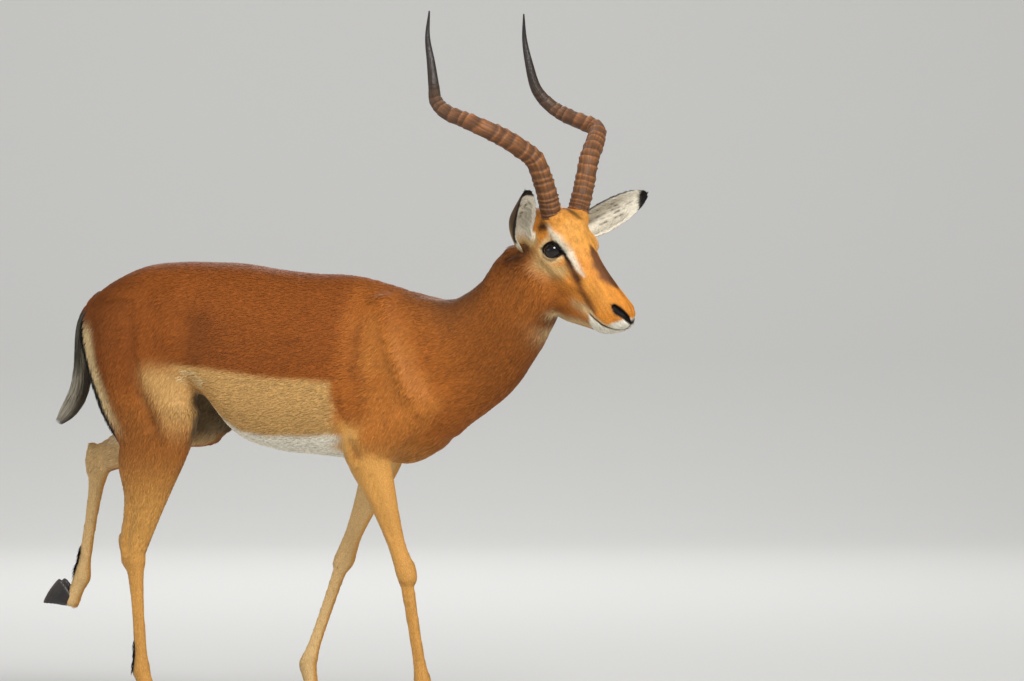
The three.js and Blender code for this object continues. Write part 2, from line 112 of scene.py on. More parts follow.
# base, direction and open side from the head origin as forward, outward, upward
EARS = {
    "left": {"base": (-42, 72, -46), "axis": (0.66, 0.574, 0.488), "opening": (0.8, -0.6, 0)},
    "right": {"base": (-58, 60, -65), "axis": (0.57, 0.57, 0.59), "opening": (0.79, -0.17, -0.59)},
}

# backward, outward, upward, radius
HORN_ROWS = [
    [2, 28, -38, 20.5],
    [2, 37, -12, 20.5],
    [2, 45, 9, 20.5],
    [2, 61, 50, 20],
    [8, 84, 100, 19.3],
    [21, 114, 124, 18.7],
    [37, 145, 144, 18],
    [63, 177, 163, 17],
    [105, 179, 178, 15.8],
    [147, 180, 192, 14.8],
    [180, 172, 214, 13.2],
    [197, 158, 243, 11.2],
    [209, 152, 289, 8.6],
    [219, 150, 338, 5.2],
    [218, 146, 388, 1.6],
]
RING_SPACING = ([0.0, 0.09, 0.2, 0.35, 0.5, 0.64, 0.75, 1.0], [9, 9.5, 16, 22, 25, 20, 15, 14])

# x, y, z, outer side, inner side, half width: the tail out to its hair, and the bare dock inside it
TAIL_ROWS = [
    [-362, 0, 842, 20, 18, 22],
    [-384, 0, 822, 17, 17, 22],
    [-399, 1, 785, 15, 14, 24],
    [-403, 2, 740, 15, 14, 26],
    [-405, 4, 695, 18, 17, 27],
    [-416, 6, 655, 20, 19, 25],
    [-438, 7, 621, 18, 17, 20],
    [-464, 7, 594, 7, 7, 9],
]
DOCK_ROWS = [
    [-350, 0, 846, 19, 18, 20],
    [-372, 0, 834, 15, 15, 17],
    [-390, 0, 812, 10, 11, 12],
    [-399, 1, 775, 8, 8, 9],
    [-402, 3, 735, 7, 7, 8],
    [-404, 4, 695, 6, 6, 7],
]

LEGS = {
    "foreleg_right": {
        "scapula": (285, -38, 835), "shoulder": (378, -60, 648), "elbow": (272, -68, 550),
        "knee": (354, -66, 322), "fetlock": (390, -60, 104), "coronet": (411, -60, 48),
        "toe": (1, 0, 0),
    },
    "foreleg_left": {
        "scapula": (278, 38, 835), "shoulder": (366, 60, 644), "elbow": (248, 68, 558),
        "knee": (153, 66, 336), "fetlock": (76, 60, 124), "coronet": (88, 60, 51),
        "toe": (1, 0, 0),
    },
    "hindleg_right": {
        "stifle": (-146, -72, 604), "hock": (-252, -56, 340), "fetlock": (-240, -50, 104),
        "coronet": (-216, -50, 48), "toe": (1, 0, 0),
    },
    "hindleg_left": {
        "stifle": (-150, 74, 606), "hock": (-402, 68, 508), "fetlock": (-440, 62, 280),
        "coronet": (-464, 60, 228), "toe": (-0.62, 0, -0.78),
    },
}

# place along the bone, reach to the front, to the back, half width
SCAPULA_FLESH = [
    [-0.05, 40, 50, 24], [0.25, 50, 62, 38], [0.6, 50, 70, 46], [0.9, 44, 66, 43], [1.1, 34, 46, 34],
]
UPPER_ARM_FLESH = [
    [-0.2, 36, 34, 29], [0.15, 45, 62, 38], [0.5, 46, 74, 39], [0.85, 42, 60, 35], [1.12, 34, 36, 27],
]
FOREARM_FLESH = [
    [-0.16, 40, 44, 30], [0.06, 42, 46, 32], [0.25, 38, 36, 29], [0.5, 28, 25, 23],
    [0.75, 20, 19, 18.5], [0.9, 20, 19, 19.5], [1.0, 22, 20, 21], [1.08, 19, 20, 19],
]
FORE_CANNON_FLESH = [
    [-0.06, 20, 19, 19], [0.05, 18, 18, 17.5], [0.16, 14.5, 15, 14.5], [0.5, 12.5, 14, 12.5],
    [0.82, 13, 15, 13], [0.94, 17, 18, 17],
]
GASKIN_FLESH = [
    [-0.12, 34, 60, 36], [0.05, 40, 104, 42], [0.25, 38, 108, 40], [0.45, 32, 96, 33],
    [0.65, 27, 62, 26], [0.85, 23, 47, 21], [1.0, 20, 39, 18], [1.1, 15, 30, 14],
]
HIND_CANNON_FLESH = [
    [-0.17, 12, 38, 11], [-0.06, 21, 39, 18], [0.05, 22, 29, 20], [0.2, 16, 19, 15.5],
    [0.5, 13, 15, 13], [0.82, 13.5, 15.5, 13.5], [0.94, 17, 18.5, 17],
]
PASTERN_FLESH = [[0.0, 18, 19, 18], [0.35, 15, 16.5, 16], [0.7, 15, 16, 17], [1.0, 17, 18, 19]]
# x, distance from the middle plane, z, front, back, half width
THIGH_ROWS = [
    [-232, 52, 842, 88, 98, 42],
    [-228, 58, 800, 104, 136, 51],
    [-224, 62, 750, 110, 140, 54],
    [-212, 65, 700, 100, 138, 54],
    [-200, 67, 650, 89, 132, 51],
    [-194, 68, 608, 82, 118, 46],
    [-190, 68, 572, 68, 100, 38],
]
CLAW = {"heel": -24, "toe": 39, "width": 17.5, "splay": 10.6, "height": 47}
SIDES = {"left": 1, "right": -1}
for joint in LEGS.values():
    joint.update({part: np.array(place, float) for part, place in joint.items()})

# how far the skin lies inside the solids
COAT_DEPTH = {"trunk": 2.5, "neck": 2.5, "leg": 1.6, "face": 1.0}

# ---------------------------------------------------------------- plain helpers


def unit(v):
    """Rows scaled to length one."""
    v = np.asarray(v, float)
    return v / np.maximum(np.linalg.norm(v, axis=-1, keepdims=True), 1e-9)


def dot(a, b):
    return np.sum(a * b, axis=-1)


def step(x, low, high):
    """Smooth step from 0 at low to 1 at high; low may be the larger."""
    s = np.clip((x - low) / (high - low), 0, 1)
    return s * s * (3 - 2 * s)


def bell(x, width):
    """exp(-(x / width) squared)"""
    return np.exp(-((x / width) ** 2))


def distance_to_line(points, path):
    """Shortest distance from each point to a bent line, and the place of its foot from 0 to 1."""
    path = np.asarray(path, float)
    best = np.full(len(points), 1e9)
    place = np.zeros(len(points))
    for i in range(len(path) - 1):
        start, run = path[i], path[i + 1] - path[i]
        s = np.clip((points - start) @ run / (run @ run), 0, 1)
        away = np.linalg.norm(points - start - s[:, None] * run, axis=1)
        nearer = away < best
        best = np.where(nearer, away, best)
        place = np.where(nearer, (i + s) / (len(path) - 1), place)
    return best, place


def side_of(leg):
    """1 for a leg on the left and -1 on the right."""
    return SIDES[leg.split("_")[1]]


def backward(line):
    """Square to a line of the leg, toward the tail."""
    square = np.cross(line, [0, 1, 0])
    return square if square[0] < 0 else -square


def read(items, field, width=1, kind=np.int32):
    """One field of mesh items as an array, in rows if width is more than one."""
    flat = np.empty(len(items) * width, kind)
    items.foreach_get(field, flat)
    return flat.reshape(-1, width) if width > 1 else flat


def placed(name, data):
    """A new object in the scene."""
    ob = bpy.data.objects.new(name, data)
    bpy.context.scene.collection.objects.link(ob)
    return ob


heading = np.array([math.cos(HEAD_YAW), -math.sin(HEAD_YAW), 0.0])
head_left = np.cross(UP, heading)
along = heading * math.cos(FACE_SLOPE) - UP * math.sin(FACE_SLOPE)
lift = heading * math.sin(FACE_SLOPE) + UP * math.cos(FACE_SLOPE)


def face_point(a, p, left):
    """A point from its distance along the face, its height over the face line and its distance left."""
    return HEAD_ORIGIN + along * a + lift * p + head_left * left


def level_point(forward, left, up):
    return HEAD_ORIGIN + heading * forward + head_left * left + UP * up


def spline(rows, t):
    """Catmull-Rom curve through the rows at t from 0 to 1: the values and their slopes."""
    rows = np.asarray(rows, float)
    spans = len(rows) - 1
    padded = np.vstack([2 * rows[0] - rows[1], rows, 2 * rows[-1] - rows[-2]])
    place = np.clip(np.asarray(t, float), 0, 1) * spans
    k = np.minimum(place.astype(int), spans - 1)
    f = (place - k)[:, None]
    a, b, c, d = (padded[k + i] for i in range(4))
    quad, cube = 2 * a - 5 * b + 4 * c - d, 3 * b - a - 3 * c + d
    value = 0.5 * (2 * b + (c - a) * f + quad * f**2 + cube * f**3)
    slope = 0.5 * ((c - a) + 2 * quad * f + 3 * cube * f**2)
    return value, slope

# ---------------------------------------------------------------- lofts of the flesh

shells = {"body": [], "head": []}
guides = []  # the line of each loft, which gives the lie of the coat


def sections(rows, front, grow=0.0, around=36, per_row=7, dome=0.5, normal=None):
    """Oval sections carried along the rows' centre line, drawn in to a dome at each end.

    At angle a the section is left * side * sgn(cos a) |cos a|^(2/p) + up * reach * sgn(sin a)
    |sin a|^(2/p), with reach the front or back size, p the roundness and left = up x line.
    """
    full = np.array([list(r[:6]) + (list(r[6:8]) if len(r) > 6 else [2.0, 2.0]) for r in rows], float)
    t = np.linspace(0, 1, (len(rows) - 1) * per_row + 1)
    domes = np.radians([82, 64, 46, 30, 15])
    t = np.concatenate([np.zeros(5), t, np.ones(5)])
    turn = np.concatenate([-domes, np.zeros(len(t) - 10), domes[::-1]])
    value, slope = spline(full, t)
    centre, size, power = value[:, :3], value[:, 3:6] + grow, value[:, 6:8]
    tangent = unit(slope[:, :3]) if normal is None else np.tile(normal, (len(t), 1))
    depth = dome * np.minimum(size[:, 0], size[:, 2]) + grow
    centre = centre + tangent * (depth * np.sin(turn))[:, None]
    size = size * np.cos(turn)[:, None]
    up = unit(front - tangent * (tangent @ front)[:, None])
    left = np.cross(up, tangent)
    angle = np.linspace(0, 2 * np.pi, around, endpoint=False)
    cos, sin = np.cos(angle)[None, :], np.sin(angle)[None, :]
    p = np.where(sin > 0, power[:, :1], power[:, 1:])
    reach = np.where(sin > 0, size[:, :1], size[:, 1:2])
    across = size[:, 2:3] * np.sign(cos) * np.abs(cos) ** (2 / p)
    rise = reach * np.sign(sin) * np.abs(sin) ** (2 / p)
    points = centre[:, None] + across[..., None] * left[:, None] + rise[..., None] * up[:, None]
    return {"points": points, "t": t, "centre": centre, "tangent": tangent, "up": up, "left": left}


def tube_faces(rings, around, closed=True):
    """Quads of a tube of rings, with a cap at each end if closed."""
    i, j = np.meshgrid(np.arange(rings - 1), np.arange(around), indexing="ij")
    k = (j + 1) % around
    quads = np.stack([i * around + j, i * around + k, (i + 1) * around + k, (i + 1) * around + j], -1)
    faces = [tuple(q) for q in quads.reshape(-1, 4).tolist()]
    if closed:
        faces.append(tuple(range(around - 1, -1, -1)))
        faces.append(tuple(range((rings - 1) * around, rings * around)))
    return faces


def flesh(name, rows, front, lie, where="body", **options):
    """One loft of flesh, kept as a shell of the skin and as a guide for the lie of its coat."""
    made = sections(rows, np.asarray(front, float), **options)
    rings, around = made["points"].shape[:2]
    for place in (where,) if isinstance(where, str) else where:
        shells[place].append((made["points"].reshape(-1, 3), tube_faces(rings, around)))
    made.update(name=name, lie=lie)
    guides.append(made)


def along_bone(start, end, table):
    return [[*(start + (end - start) * row[0]), *row[1:]] for row in table]


# lie of the coat: -1 against the line of the rows, 1 along it, or a fixed direction
flesh(
    "trunk", [[x, 0, z, *rest] for x, z, *rest in TRUNK_ROWS], UP, (-0.97, 0, -0.22),
    grow=-COAT_DEPTH["trunk"], around=72, dome=0.28, normal=FORWARD,
)
flesh("neck", NECK_ROWS, UP, -1, where=("body", "head"), grow=-COAT_DEPTH["neck"], around=64)
flesh("tail", DOCK_ROWS, -FORWARD, 1, around=24)
for leg, joint in LEGS.items():
    inset = {"grow": -COAT_DEPTH["leg"]}
    if leg.startswith("fore"):
        flesh(leg + ".scapula", along_bone(joint["scapula"], joint["shoulder"], SCAPULA_FLESH),
              FORWARD, (-0.6, 0, -0.8), grow=-COAT_DEPTH["trunk"])
        flesh(leg + ".arm", along_bone(joint["shoulder"], joint["elbow"], UPPER_ARM_FLESH),
              FORWARD, (-0.5, 0, -0.86), grow=-COAT_DEPTH["trunk"])
        flesh(leg + ".forearm", along_bone(joint["elbow"], joint["knee"], FOREARM_FLESH), FORWARD, 1, **inset)
        cannon, upper = FORE_CANNON_FLESH, joint["knee"]
    else:
        thigh = [[x, side_of(leg) * out, *rest] for x, out, *rest in THIGH_ROWS]
        flesh(leg + ".thigh", thigh, FORWARD,
              (-0.42, 0, -0.9), grow=-COAT_DEPTH["trunk"], around=48, normal=-UP, dome=0.7)
        flesh(leg + ".gaskin", along_bone(joint["stifle"], joint["hock"], GASKIN_FLESH), FORWARD, 1, **inset)
        cannon, upper = HIND_CANNON_FLESH, joint["hock"]
    flesh(leg + ".cannon", along_bone(upper, joint["fetlock"], cannon)
          + along_bone(joint["fetlock"], joint["coronet"], PASTERN_FLESH), FORWARD, 1, **inset)
flesh(
    "head",
    [[*face_point(a, widest, 0), top - widest, widest - bottom, half, *powers]
     for a, top, bottom, widest, half, *powers in HEAD_ROWS],
    lift, -1, where="head", grow=-COAT_DEPTH["face"], around=64, per_row=5, dome=0.45, normal=along,
)


def ear_frame(name):
    """Base, stem, open side and width direction of an ear."""
    sign, ear = SIDES[name], EARS[name]
    base = level_point(ear["base"][0], sign * ear["base"][1], ear["base"][2])
    stem, hollow = (
        unit(heading * v[0] + head_left * sign * v[1] + UP * v[2]) for v in (ear["axis"], ear["opening"])
    )
    hollow = unit(hollow - stem * (hollow @ stem))
    return base, stem, hollow, np.cross(hollow, stem)


def ear_half_width(s):
    """Half width at place s from base to tip, rounded out below the middle and drawn in to the tip."""
    swell = 0.42 + 0.58 * np.sin(np.pi * np.clip(s / 0.45, 0, 1) / 2)
    return EAR_HALF_WIDTH * swell * np.sqrt(np.maximum(1 - (np.maximum(s - 0.45, 0) / 0.56) ** 2, 0.004))


def ear_section(s, u):
    """Heights of the ear's back and open side over the line through its rims: the back lies at
    -depth (1 - u^2), the open side a leaf's thickness before it, also where the section is steep."""
    half = ear_half_width(s)
    depth = half * (1.7 - 1.3 * s)
    wall = 4.6 * np.sqrt(1 + (2 * depth * u / half) ** 2) + 14.4 * (1 - step(s, 0.0, 0.3))
    back = -depth * (1 - u * u) + 0.6
    return half, back, back + wall * np.sqrt(np.maximum(1 - u**4, 0))


def add_ear(name):
    """A leaf of crescent sections, widest below its middle, bent back toward the tip."""
    base, stem, hollow, across = ear_frame(name)
    s = np.linspace(0, 1, 60)[:, None]
    u = np.sin(np.linspace(-np.pi / 2, np.pi / 2, 30))[None, :]
    half, back, front = ear_section(s, u)
    centre = base + s[..., None] * stem * EAR_LENGTH - hollow * (12 * s * s)[..., None]
    ring_u = np.concatenate([np.repeat(u[:, ::-1], len(s), 0), np.repeat(u[:, 1:-1], len(s), 0)], 1)
    ring_h = np.concatenate([back[:, ::-1], front[:, 1:-1]], 1)
    points = centre + (half * ring_u)[..., None] * across + ring_h[..., None] * hollow
    shells["head"].append((points[:, ::-1].reshape(-1, 3), tube_faces(len(s), ring_u.shape[1])))
    middle = centre[:, 0] + hollow * (0.5 * back[:, 14:15])
    count = len(middle)
    guides.append({
        "name": "ear_" + name, "lie": 1, "points": points, "t": s[:, 0], "centre": middle,
        "tangent": np.tile(stem, (count, 1)), "up": np.tile(hollow, (count, 1)),
        "left": np.tile(across, (count, 1)),
    })


def mirrored(path):
    """The same line on the other side of the body."""
    return [(x, -y, z) for x, y, z in path]


def ball(centre, axes, radii, rings=20, around=28):
    """Ellipsoid: centre + radii times (sin b cos a, sin b sin a, cos b) on its axes."""
    b = np.linspace(0.04, np.pi - 0.04, rings)[:, None]
    a = np.linspace(0, 2 * np.pi, around, endpoint=False)[None, :]
    local = np.stack([np.sin(b) * np.cos(a), np.sin(b) * np.sin(a), np.cos(b) + 0 * a], -1) * radii
    return (centre + local @ np.asarray(axes)).reshape(-1, 3), tube_faces(rings, around)


for name, sign in SIDES.items():
    add_ear(name)
    for swelling in SWELLINGS:
        a, p, out = swelling["centre"]
        radii = np.array(swelling["radii"]) - COAT_DEPTH["face"]
        shells["head"].append(ball(face_point(a, p, sign * out), [along, head_left, lift], radii))

# ---------------------------------------------------------------- one skin from the shells

BODY_VOXEL = 6.9  # side of the squares of the remesh
HEAD_VOXEL = 2.85
NECK_CUT = (np.array([566.0, -15.0, 832.0]), unit([0.62, -0.2, 0.77]))


def raw_mesh(name, points, faces):
    mesh = bpy.data.meshes.new(name)
    mesh.from_pydata(np.asarray(points, float).tolist(), [], faces)
    mesh.update()
    return mesh


def remeshed(name, parts, voxel):
    """The outer surface of all the shells together, as one even mesh of squares."""
    points, faces, base = [], [], 0
    for part_points, part_faces in parts:
        points.append(part_points)
        faces += [tuple(i + base for i in face) for face in part_faces]
        base += len(part_points)
    ob = placed(name, raw_mesh(name, np.vstack(points), faces))
    remesh = ob.modifiers.new("remesh", "REMESH")
    remesh.mode, remesh.voxel_size, remesh.adaptivity = "VOXEL", voxel, 0
    depsgraph = bpy.context.evaluated_depsgraph_get()
    mesh = bpy.data.meshes.new_from_object(ob.evaluated_get(depsgraph))
    bpy.data.objects.remove(ob)
    return mesh


def cut_at_neck(mesh, keep_head):
    """The part of a mesh on one side of the plane across the neck."""
    bm = bmesh.new()
    bm.from_mesh(mesh)
    bmesh.ops.bisect_plane(
        bm, geom=bm.verts[:] + bm.edges[:] + bm.faces[:], plane_co=NECK_CUT[0].tolist(),
        plane_no=NECK_CUT[1].tolist(), clear_outer=not keep_head, clear_inner=keep_head,
    )
    bm.to_mesh(mesh)
    bm.free()
    return mesh


def join_skin(body, head):
    """Body and head bridged at the neck cut into one closed skin."""
    bm = bmesh.new()
    bm.from_mesh(body)
    bm.from_mesh(head)
    rim = [e for e in bm.edges if e.is_boundary]
    bmesh.ops.bridge_loops(bm, edges=rim)
    bmesh.ops.recalc_face_normals(bm, faces=bm.faces[:])
    return bm


def refine(bm, chosen):
    """Faces whose corners are all chosen get a finer mesh."""
    bm.verts.ensure_lookup_table()
    points = np.array([v.co for v in bm.verts])
    inside = chosen(points)
    edges = [e for e in bm.edges if inside[e.verts[0].index] and inside[e.verts[1].index]]
    bmesh.ops.subdivide_edges(bm, edges=edges, cuts=1, use_grid_fill=True)
    bm.verts.index_update()


def face_coordinates(points):
    """Distance along the face, height over the face line and distance left, for each point."""
    d = points - HEAD_ORIGIN
    return d @ along, d @ lift, d @ head_left


EYE_RADIUS = 19.5
EYE_OPENING = (21.0, 12.0)  # half length and half height between the lids


def eye_frame(sign):
    """Centre of the eyeball, and directions to the inner corner, the brow and straight out."""
    out = unit(head_left * sign * 0.92 + heading * 0.36 + UP * 0.1)
    forward = unit(heading - out * (heading @ out))
    upward = unit(UP - out * (UP @ out) - forward * (UP @ forward))
    return face_point(56, -47, sign * 40.5), forward, upward, out


def tear_drop(x):
    """How far the lids are drawn down at x, toward the front corner of the eye."""
    return 2.2 * step(x, 8, 24)


def eye_length(x):
    """Half length between the lids, more in front of the eye's middle than behind it."""
    return np.where(x > 0, EYE_OPENING[0] * 1.12, EYE_OPENING[0])


def lid_level(points, sign):
    """Less than 1 between the lids and more outside: (x / length)^2 + |y| / height, with the front
    corner drawn out and down into the tear duct. Also the height over the eyeball's middle."""
    centre, forward, upward, out = eye_frame(sign)
    d = points - centre
    x, y, z = d @ forward, d @ upward, d @ out
    y = y + tear_drop(x)
    height = np.where(y > 0, EYE_OPENING[1] * 1.06, EYE_OPENING[1])
    return (x / eye_length(x)) ** 2 + np.abs(y) / height, z


def nearer_lids(points):
    """lid_level at the nearer eye, and 9 behind the middle of both eyeballs."""
    return np.minimum(*(np.where(z > 0, g, 9) for g, z in (lid_level(points, s) for s in SIDES.values())))


# lines of the face: distance along it, height over it, distance out
NOSTRIL = [(225.4, -24, 25), (236, -23.2, 23.7), (246, -21.5, 19.2), (256, -23, 11.8), (262.5, -28, 5),
           (265, -31, 0)]
NOSTRIL_REACH = ([0.0, 0.2, 0.4, 0.6, 0.8, 1.0], [6.0, 8.6, 7.4, 5.6, 3.6, 2.6])  # place, half width
MOUTH = [(194, -77.5, 24.6), (210.6, -76, 23), (228.8, -70.8, 23), (245.5, -63, 19.5), (256.6, -55.1, 12.1),
         (262, -49, 7), (264.6, -44, 2.5), (265, -42.5, 0)]
PHILTRUM = [(262, -20, 0), (265.2, -28, 0), (266, -37, 0), (265, -43, 0)]


def on_face(path, sign):
    return np.array([face_point(a, p, sign * out) for a, p, out in path])


def off_face_line(points, path):
    """Distance to a line of the face, on the side where it is nearer."""
    return np.minimum(*(distance_to_line(points, on_face(path, sign))[0] for sign in SIDES.values()))


def near_muzzle(points, reach):
    return np.min([off_face_line(points, path) for path in (NOSTRIL, MOUTH, PHILTRUM)], 0) < reach


def in_lower_leg(points):
    """Slim parts: all that is low down, the lifted hind leg and the dock."""
    z, x = points[:, 2], points[:, 0]
    lifted = (x < -290) & (z < 560) & (points[:, 1] > 20)
    dock = (x < -386) & (z < 800) & (np.abs(points[:, 1]) < 30) & (z > 620)
    return (z < 400) | lifted | dock


skin_bm = join_skin(
    cut_at_neck(remeshed("body", shells["body"], BODY_VOXEL), keep_head=False),
    cut_at_neck(remeshed("head", shells["head"], HEAD_VOXEL), keep_head=True),
)
# finer once on the lower legs, and twice round the eyes and the lines of the muzzle
refine(skin_bm, lambda p: (nearer_lids(p) < 2.1) | near_muzzle(p, 8.0) | in_lower_leg(p))
refine(skin_bm, lambda p: (nearer_lids(p) < 1.35) | near_muzzle(p, 3.0))
skin_mesh = bpy.data.meshes.new("skin")
skin_bm.to_mesh(skin_mesh)
skin_bm.free()


def read_points(mesh):
    return read(mesh.vertices, "co", 3, float)


def write_points(mesh, points):
    mesh.vertices.foreach_set("co", np.ascontiguousarray(points, float).ravel())
    mesh.update()


def normals_of(mesh):
    return read(mesh.vertex_normals, "vector", 3, np.float32).astype(float)


skin_edges = read(skin_mesh.edges, "vertices", 2)
edge_count = np.bincount(skin_edges.ravel(), minlength=len(skin_mesh.vertices))


def neighbour_mean(values):
    """Mean of each vertex's neighbours, for any number of columns."""
    a, b = skin_edges.T
    sums = [
        np.bincount(a, values[b, c], len(values)) + np.bincount(b, values[a, c], len(values))
        for c in range(values.shape[1])
    ]
    return np.stack(sums, 1) / np.maximum(edge_count, 1)[:, None]


def spread(chosen, rounds):
    """1 on the chosen vertices and 0 on the rest, softened by repeated means of neighbours."""
    share = chosen.astype(float)[:, None]
    for _ in range(rounds):
        share = neighbour_mean(share)
    return share[:, 0]


def relax(points, rounds):
    """Takes out the steps of the remesh without shrinking: a smoothing pass, then a counter pass."""
    for _ in range(rounds):
        for amount in (0.5, -0.52):
            points = points + amount * (neighbour_mean(points) - points)
    return points


def fill_hollows(mesh, rounds, weight):
    """Fillets: a vertex moves out along its normal to its neighbours' mean where that lies outside."""
    points = read_points(mesh)
    for _ in range(rounds):
        normal = normals_of(mesh)
        gap = dot(neighbour_mean(points) - points, normal)
        points = points + normal * (weight * np.maximum(gap, 0))[:, None]
        write_points(mesh, points)
    return points


def soften(points, centre, reach, rounds=24):
    """Rounds off the skin near a place by repeated means of neighbours."""
    weight = bell(np.linalg.norm(points - centre, axis=1), reach)[:, None]
    for _ in range(rounds):
        points = points + 0.6 * weight * (neighbour_mean(points) - points)
    return points

# ---------------------------------------------------------------- where each vertex is on the animal


BATCH = 8000  # points measured against the guides at a time


def body_places(points):
    """Nearest guide ring of each point: the number of the guide and of its ring."""
    samples, owner, ring = [], [], []
    for k, guide in enumerate(guides):
        shape = guide["points"]
        picked = shape[::2, :: max(shape.shape[1] // 14, 1)]
        samples.append(picked.reshape(-1, 3))
        owner.append(np.full(picked.shape[0] * picked.shape[1], k))
        ring.append(np.repeat(np.arange(0, shape.shape[0], 2), picked.shape[1]))
    samples, owner, ring = np.vstack(samples), np.concatenate(owner), np.concatenate(ring)
    middle = samples.mean(0)
    light = (samples - middle).astype(np.float32)
    norms = (light**2).sum(1)
    nearest = np.empty(len(points), int)
    for start in range(0, len(points), BATCH):
        chunk = (points[start : start + BATCH] - middle).astype(np.float32)
        nearest[start : start + BATCH] = np.argmin(norms - 2 * chunk @ light.T, axis=1)
    return owner[nearest], ring[nearest]


def coat_lie(owner, ring):
    """Direction of the coat at each place: with or against its guide's line, or the guide's own."""
    lie = np.zeros((len(owner), 3))
    for k, guide in enumerate(guides):
        chosen = owner == k
        tangent = guide["tangent"][ring[chosen]]
        lie[chosen] = tangent * guide["lie"] if np.isscalar(guide["lie"]) else np.array(guide["lie"])
    return unit(lie)


skin_points = read_points(skin_mesh)
guide_names = [g["name"] for g in guides]
owner, _ = body_places(skin_points)
is_ear = np.isin(owner, [k for k, n in enumerate(guide_names) if n.startswith("ear")])
in_head = owner == guide_names.index("head")
# how readily hollows fill: less on the head, and not at the ears or in the groin
GROIN = [(-96, -98, 672), (-84, -86, 632), (-62, -70, 596)]
groin = sum(bell(distance_to_line(skin_points, line)[0], 36) for line in (GROIN, mirrored(GROIN)))
fill = np.where(in_head, 0.45, 0.9) * (1 - np.clip(spread(is_ear, 7) * 1.4, 0, 1))
fill *= 1 - np.clip(groin, 0, 1)
skin_points = relax(skin_points, 3)
write_points(skin_mesh, skin_points)
skin_points = fill_hollows(skin_mesh, 60, fill)
# rounder behind the hocks, over the withers and behind the ears
for leg in ("hindleg_left", "hindleg_right"):
    hock = LEGS[leg]["hock"]
    cannon = unit(LEGS[leg]["fetlock"] - hock)
    for up_leg in (16, -14):
        skin_points = soften(skin_points, hock + backward(cannon) * 36 - cannon * up_leg, 20)
for withers in ((340, -8, 864), (380, -8, 860)):
    skin_points = soften(skin_points, withers, 30, rounds=40)
for sign in (-1, 1):
    behind_ear = level_point(-83, 55 * sign, -87)
    skin_points = soften(skin_points, behind_ear, 20, rounds=60)
skin_points = relax(skin_points, 2)
write_points(skin_mesh, skin_points)

# ---------------------------------------------------------------- muscles, folds and features


# line, width and height of each swell (positive) or furrow (negative) of the body; both sides get them
BODY_FORMS = [
    # shoulder blade: its ridge, and the hollow before and behind it
    ([(300, -92, 830), (345, -98, 740), (372, -92, 668)], 13, 4.5),
    ([(268, -96, 812), (262, -112, 730), (258, -112, 650)], 16, -5.0),
    ([(356, -84, 830), (392, -88, 750), (410, -84, 690)], 16, -4.2),
    # muscle behind the upper arm, and the fold over the elbow
    ([(300, -112, 690), (282, -112, 630), (276, -108, 585)], 26, 7.0),
    ([(222, -104, 640), (236, -108, 590), (262, -100, 545)], 12, -7.0),
    ([(330, -108, 640), (318, -106, 590), (300, -104, 556)], 10, -4.5),
    # fall of the withers into the neck
    ([(322, 0, 870), (342, 0, 866)], 20, 4.5),
    ([(382, 0, 861), (396, 0, 858)], 15, -3.5),
    # flank hollow, point of the hip and the ridge of the loin
    ([(-95, -108, 800), (-70, -118, 745)], 42, -9.1),
    ([(-150, -92, 868), (-172, -98, 850)], 22, 6.3),
    ([(-60, -46, 905), (60, -48, 900)], 26, 2.8),
    # front of the thigh, and the furrow between its two great muscles
    ([(-150, -116, 780), (-138, -120, 700), (-140, -116, 640)], 26, 5.6),
    ([(-236, -112, 812), (-228, -122, 740), (-204, -122, 660), (-186, -112, 600)], 13, -7.3),
    ([(-300, -104, 800), (-288, -114, 720), (-262, -112, 640)], 26, 4.9),
    # hollow behind the buttock muscle and the pin bone over it
    ([(-352, -58, 800), (-352, -62, 770)], 20, 4.9),
    # breast: the furrow between the fore muscles
    ([(446, 0, 700), (440, 0, 640), (415, 0, 590)], 14, -7.0),
    ([(432, -34, 690), (420, -38, 630)], 22, 5.6),
    # neck: groove of the vein, windpipe and the crest
    ([(430, -70, 690), (490, -66, 716), (545, -60, 760), (590, -62, 830)], 13, -3.4),
    ([(400, -84, 770), (470, -76, 800), (540, -74, 850), (590, -74, 905)], 24, 2.4),
]

# the same for the head: points as distance along the face, height over it and distance out
HEAD_FORMS = [
    ([(62, -72, 52), (96, -68, 46), (132, -62, 38), (150, -58, 33)], 8, 2.8),
    ([(40, -112, 46), (62, -122, 42)], 28, 6.5),
    ([(-14, -76, 58), (-10, -112, 50), (8, -148, 32)], 13, -7.5),
    ([(26, -152, 22), (70, -160, 14)], 9, -3.0),
    ([(92, -92, 46), (130, -98, 36), (168, -92, 28)], 14, -2.4),
    ([(73, -30, 50), (92, -34, 45), (116, -40, 38), (134, -44, 34)], 5.0, -2.6),
    ([(98, -8, 27), (140, -14, 24), (190, -14, 21)], 8, -1.6),
    ([(20, 14, 16), (44, 16, 0)], 14, 1.6),
    ([(60, 10, 12), (86, 4, 8)], 12, -1.2),
    ([(216, -24, 27), (218, -16, 24), (230, -11, 20), (244, -9, 15), (255, -14, 7)], 4.5, 2.6),
    ([(228, -37, 26), (242, -33, 23), (253, -33, 15), (260, -36, 8)], 5, 2.0),
    ([(222, -48, 25), (240, -48, 21), (252, -44, 12)], 8, 1.6),
    ([(206, -62, 26), (226, -60, 24), (244, -54, 17)], 6, 1.6),
    ([(204, -92, 21), (224, -86, 18), (243, -72, 10)], 8, 1.4),
    ([(186, -74, 27), (194, -86, 25)], 7, -1.5),
]


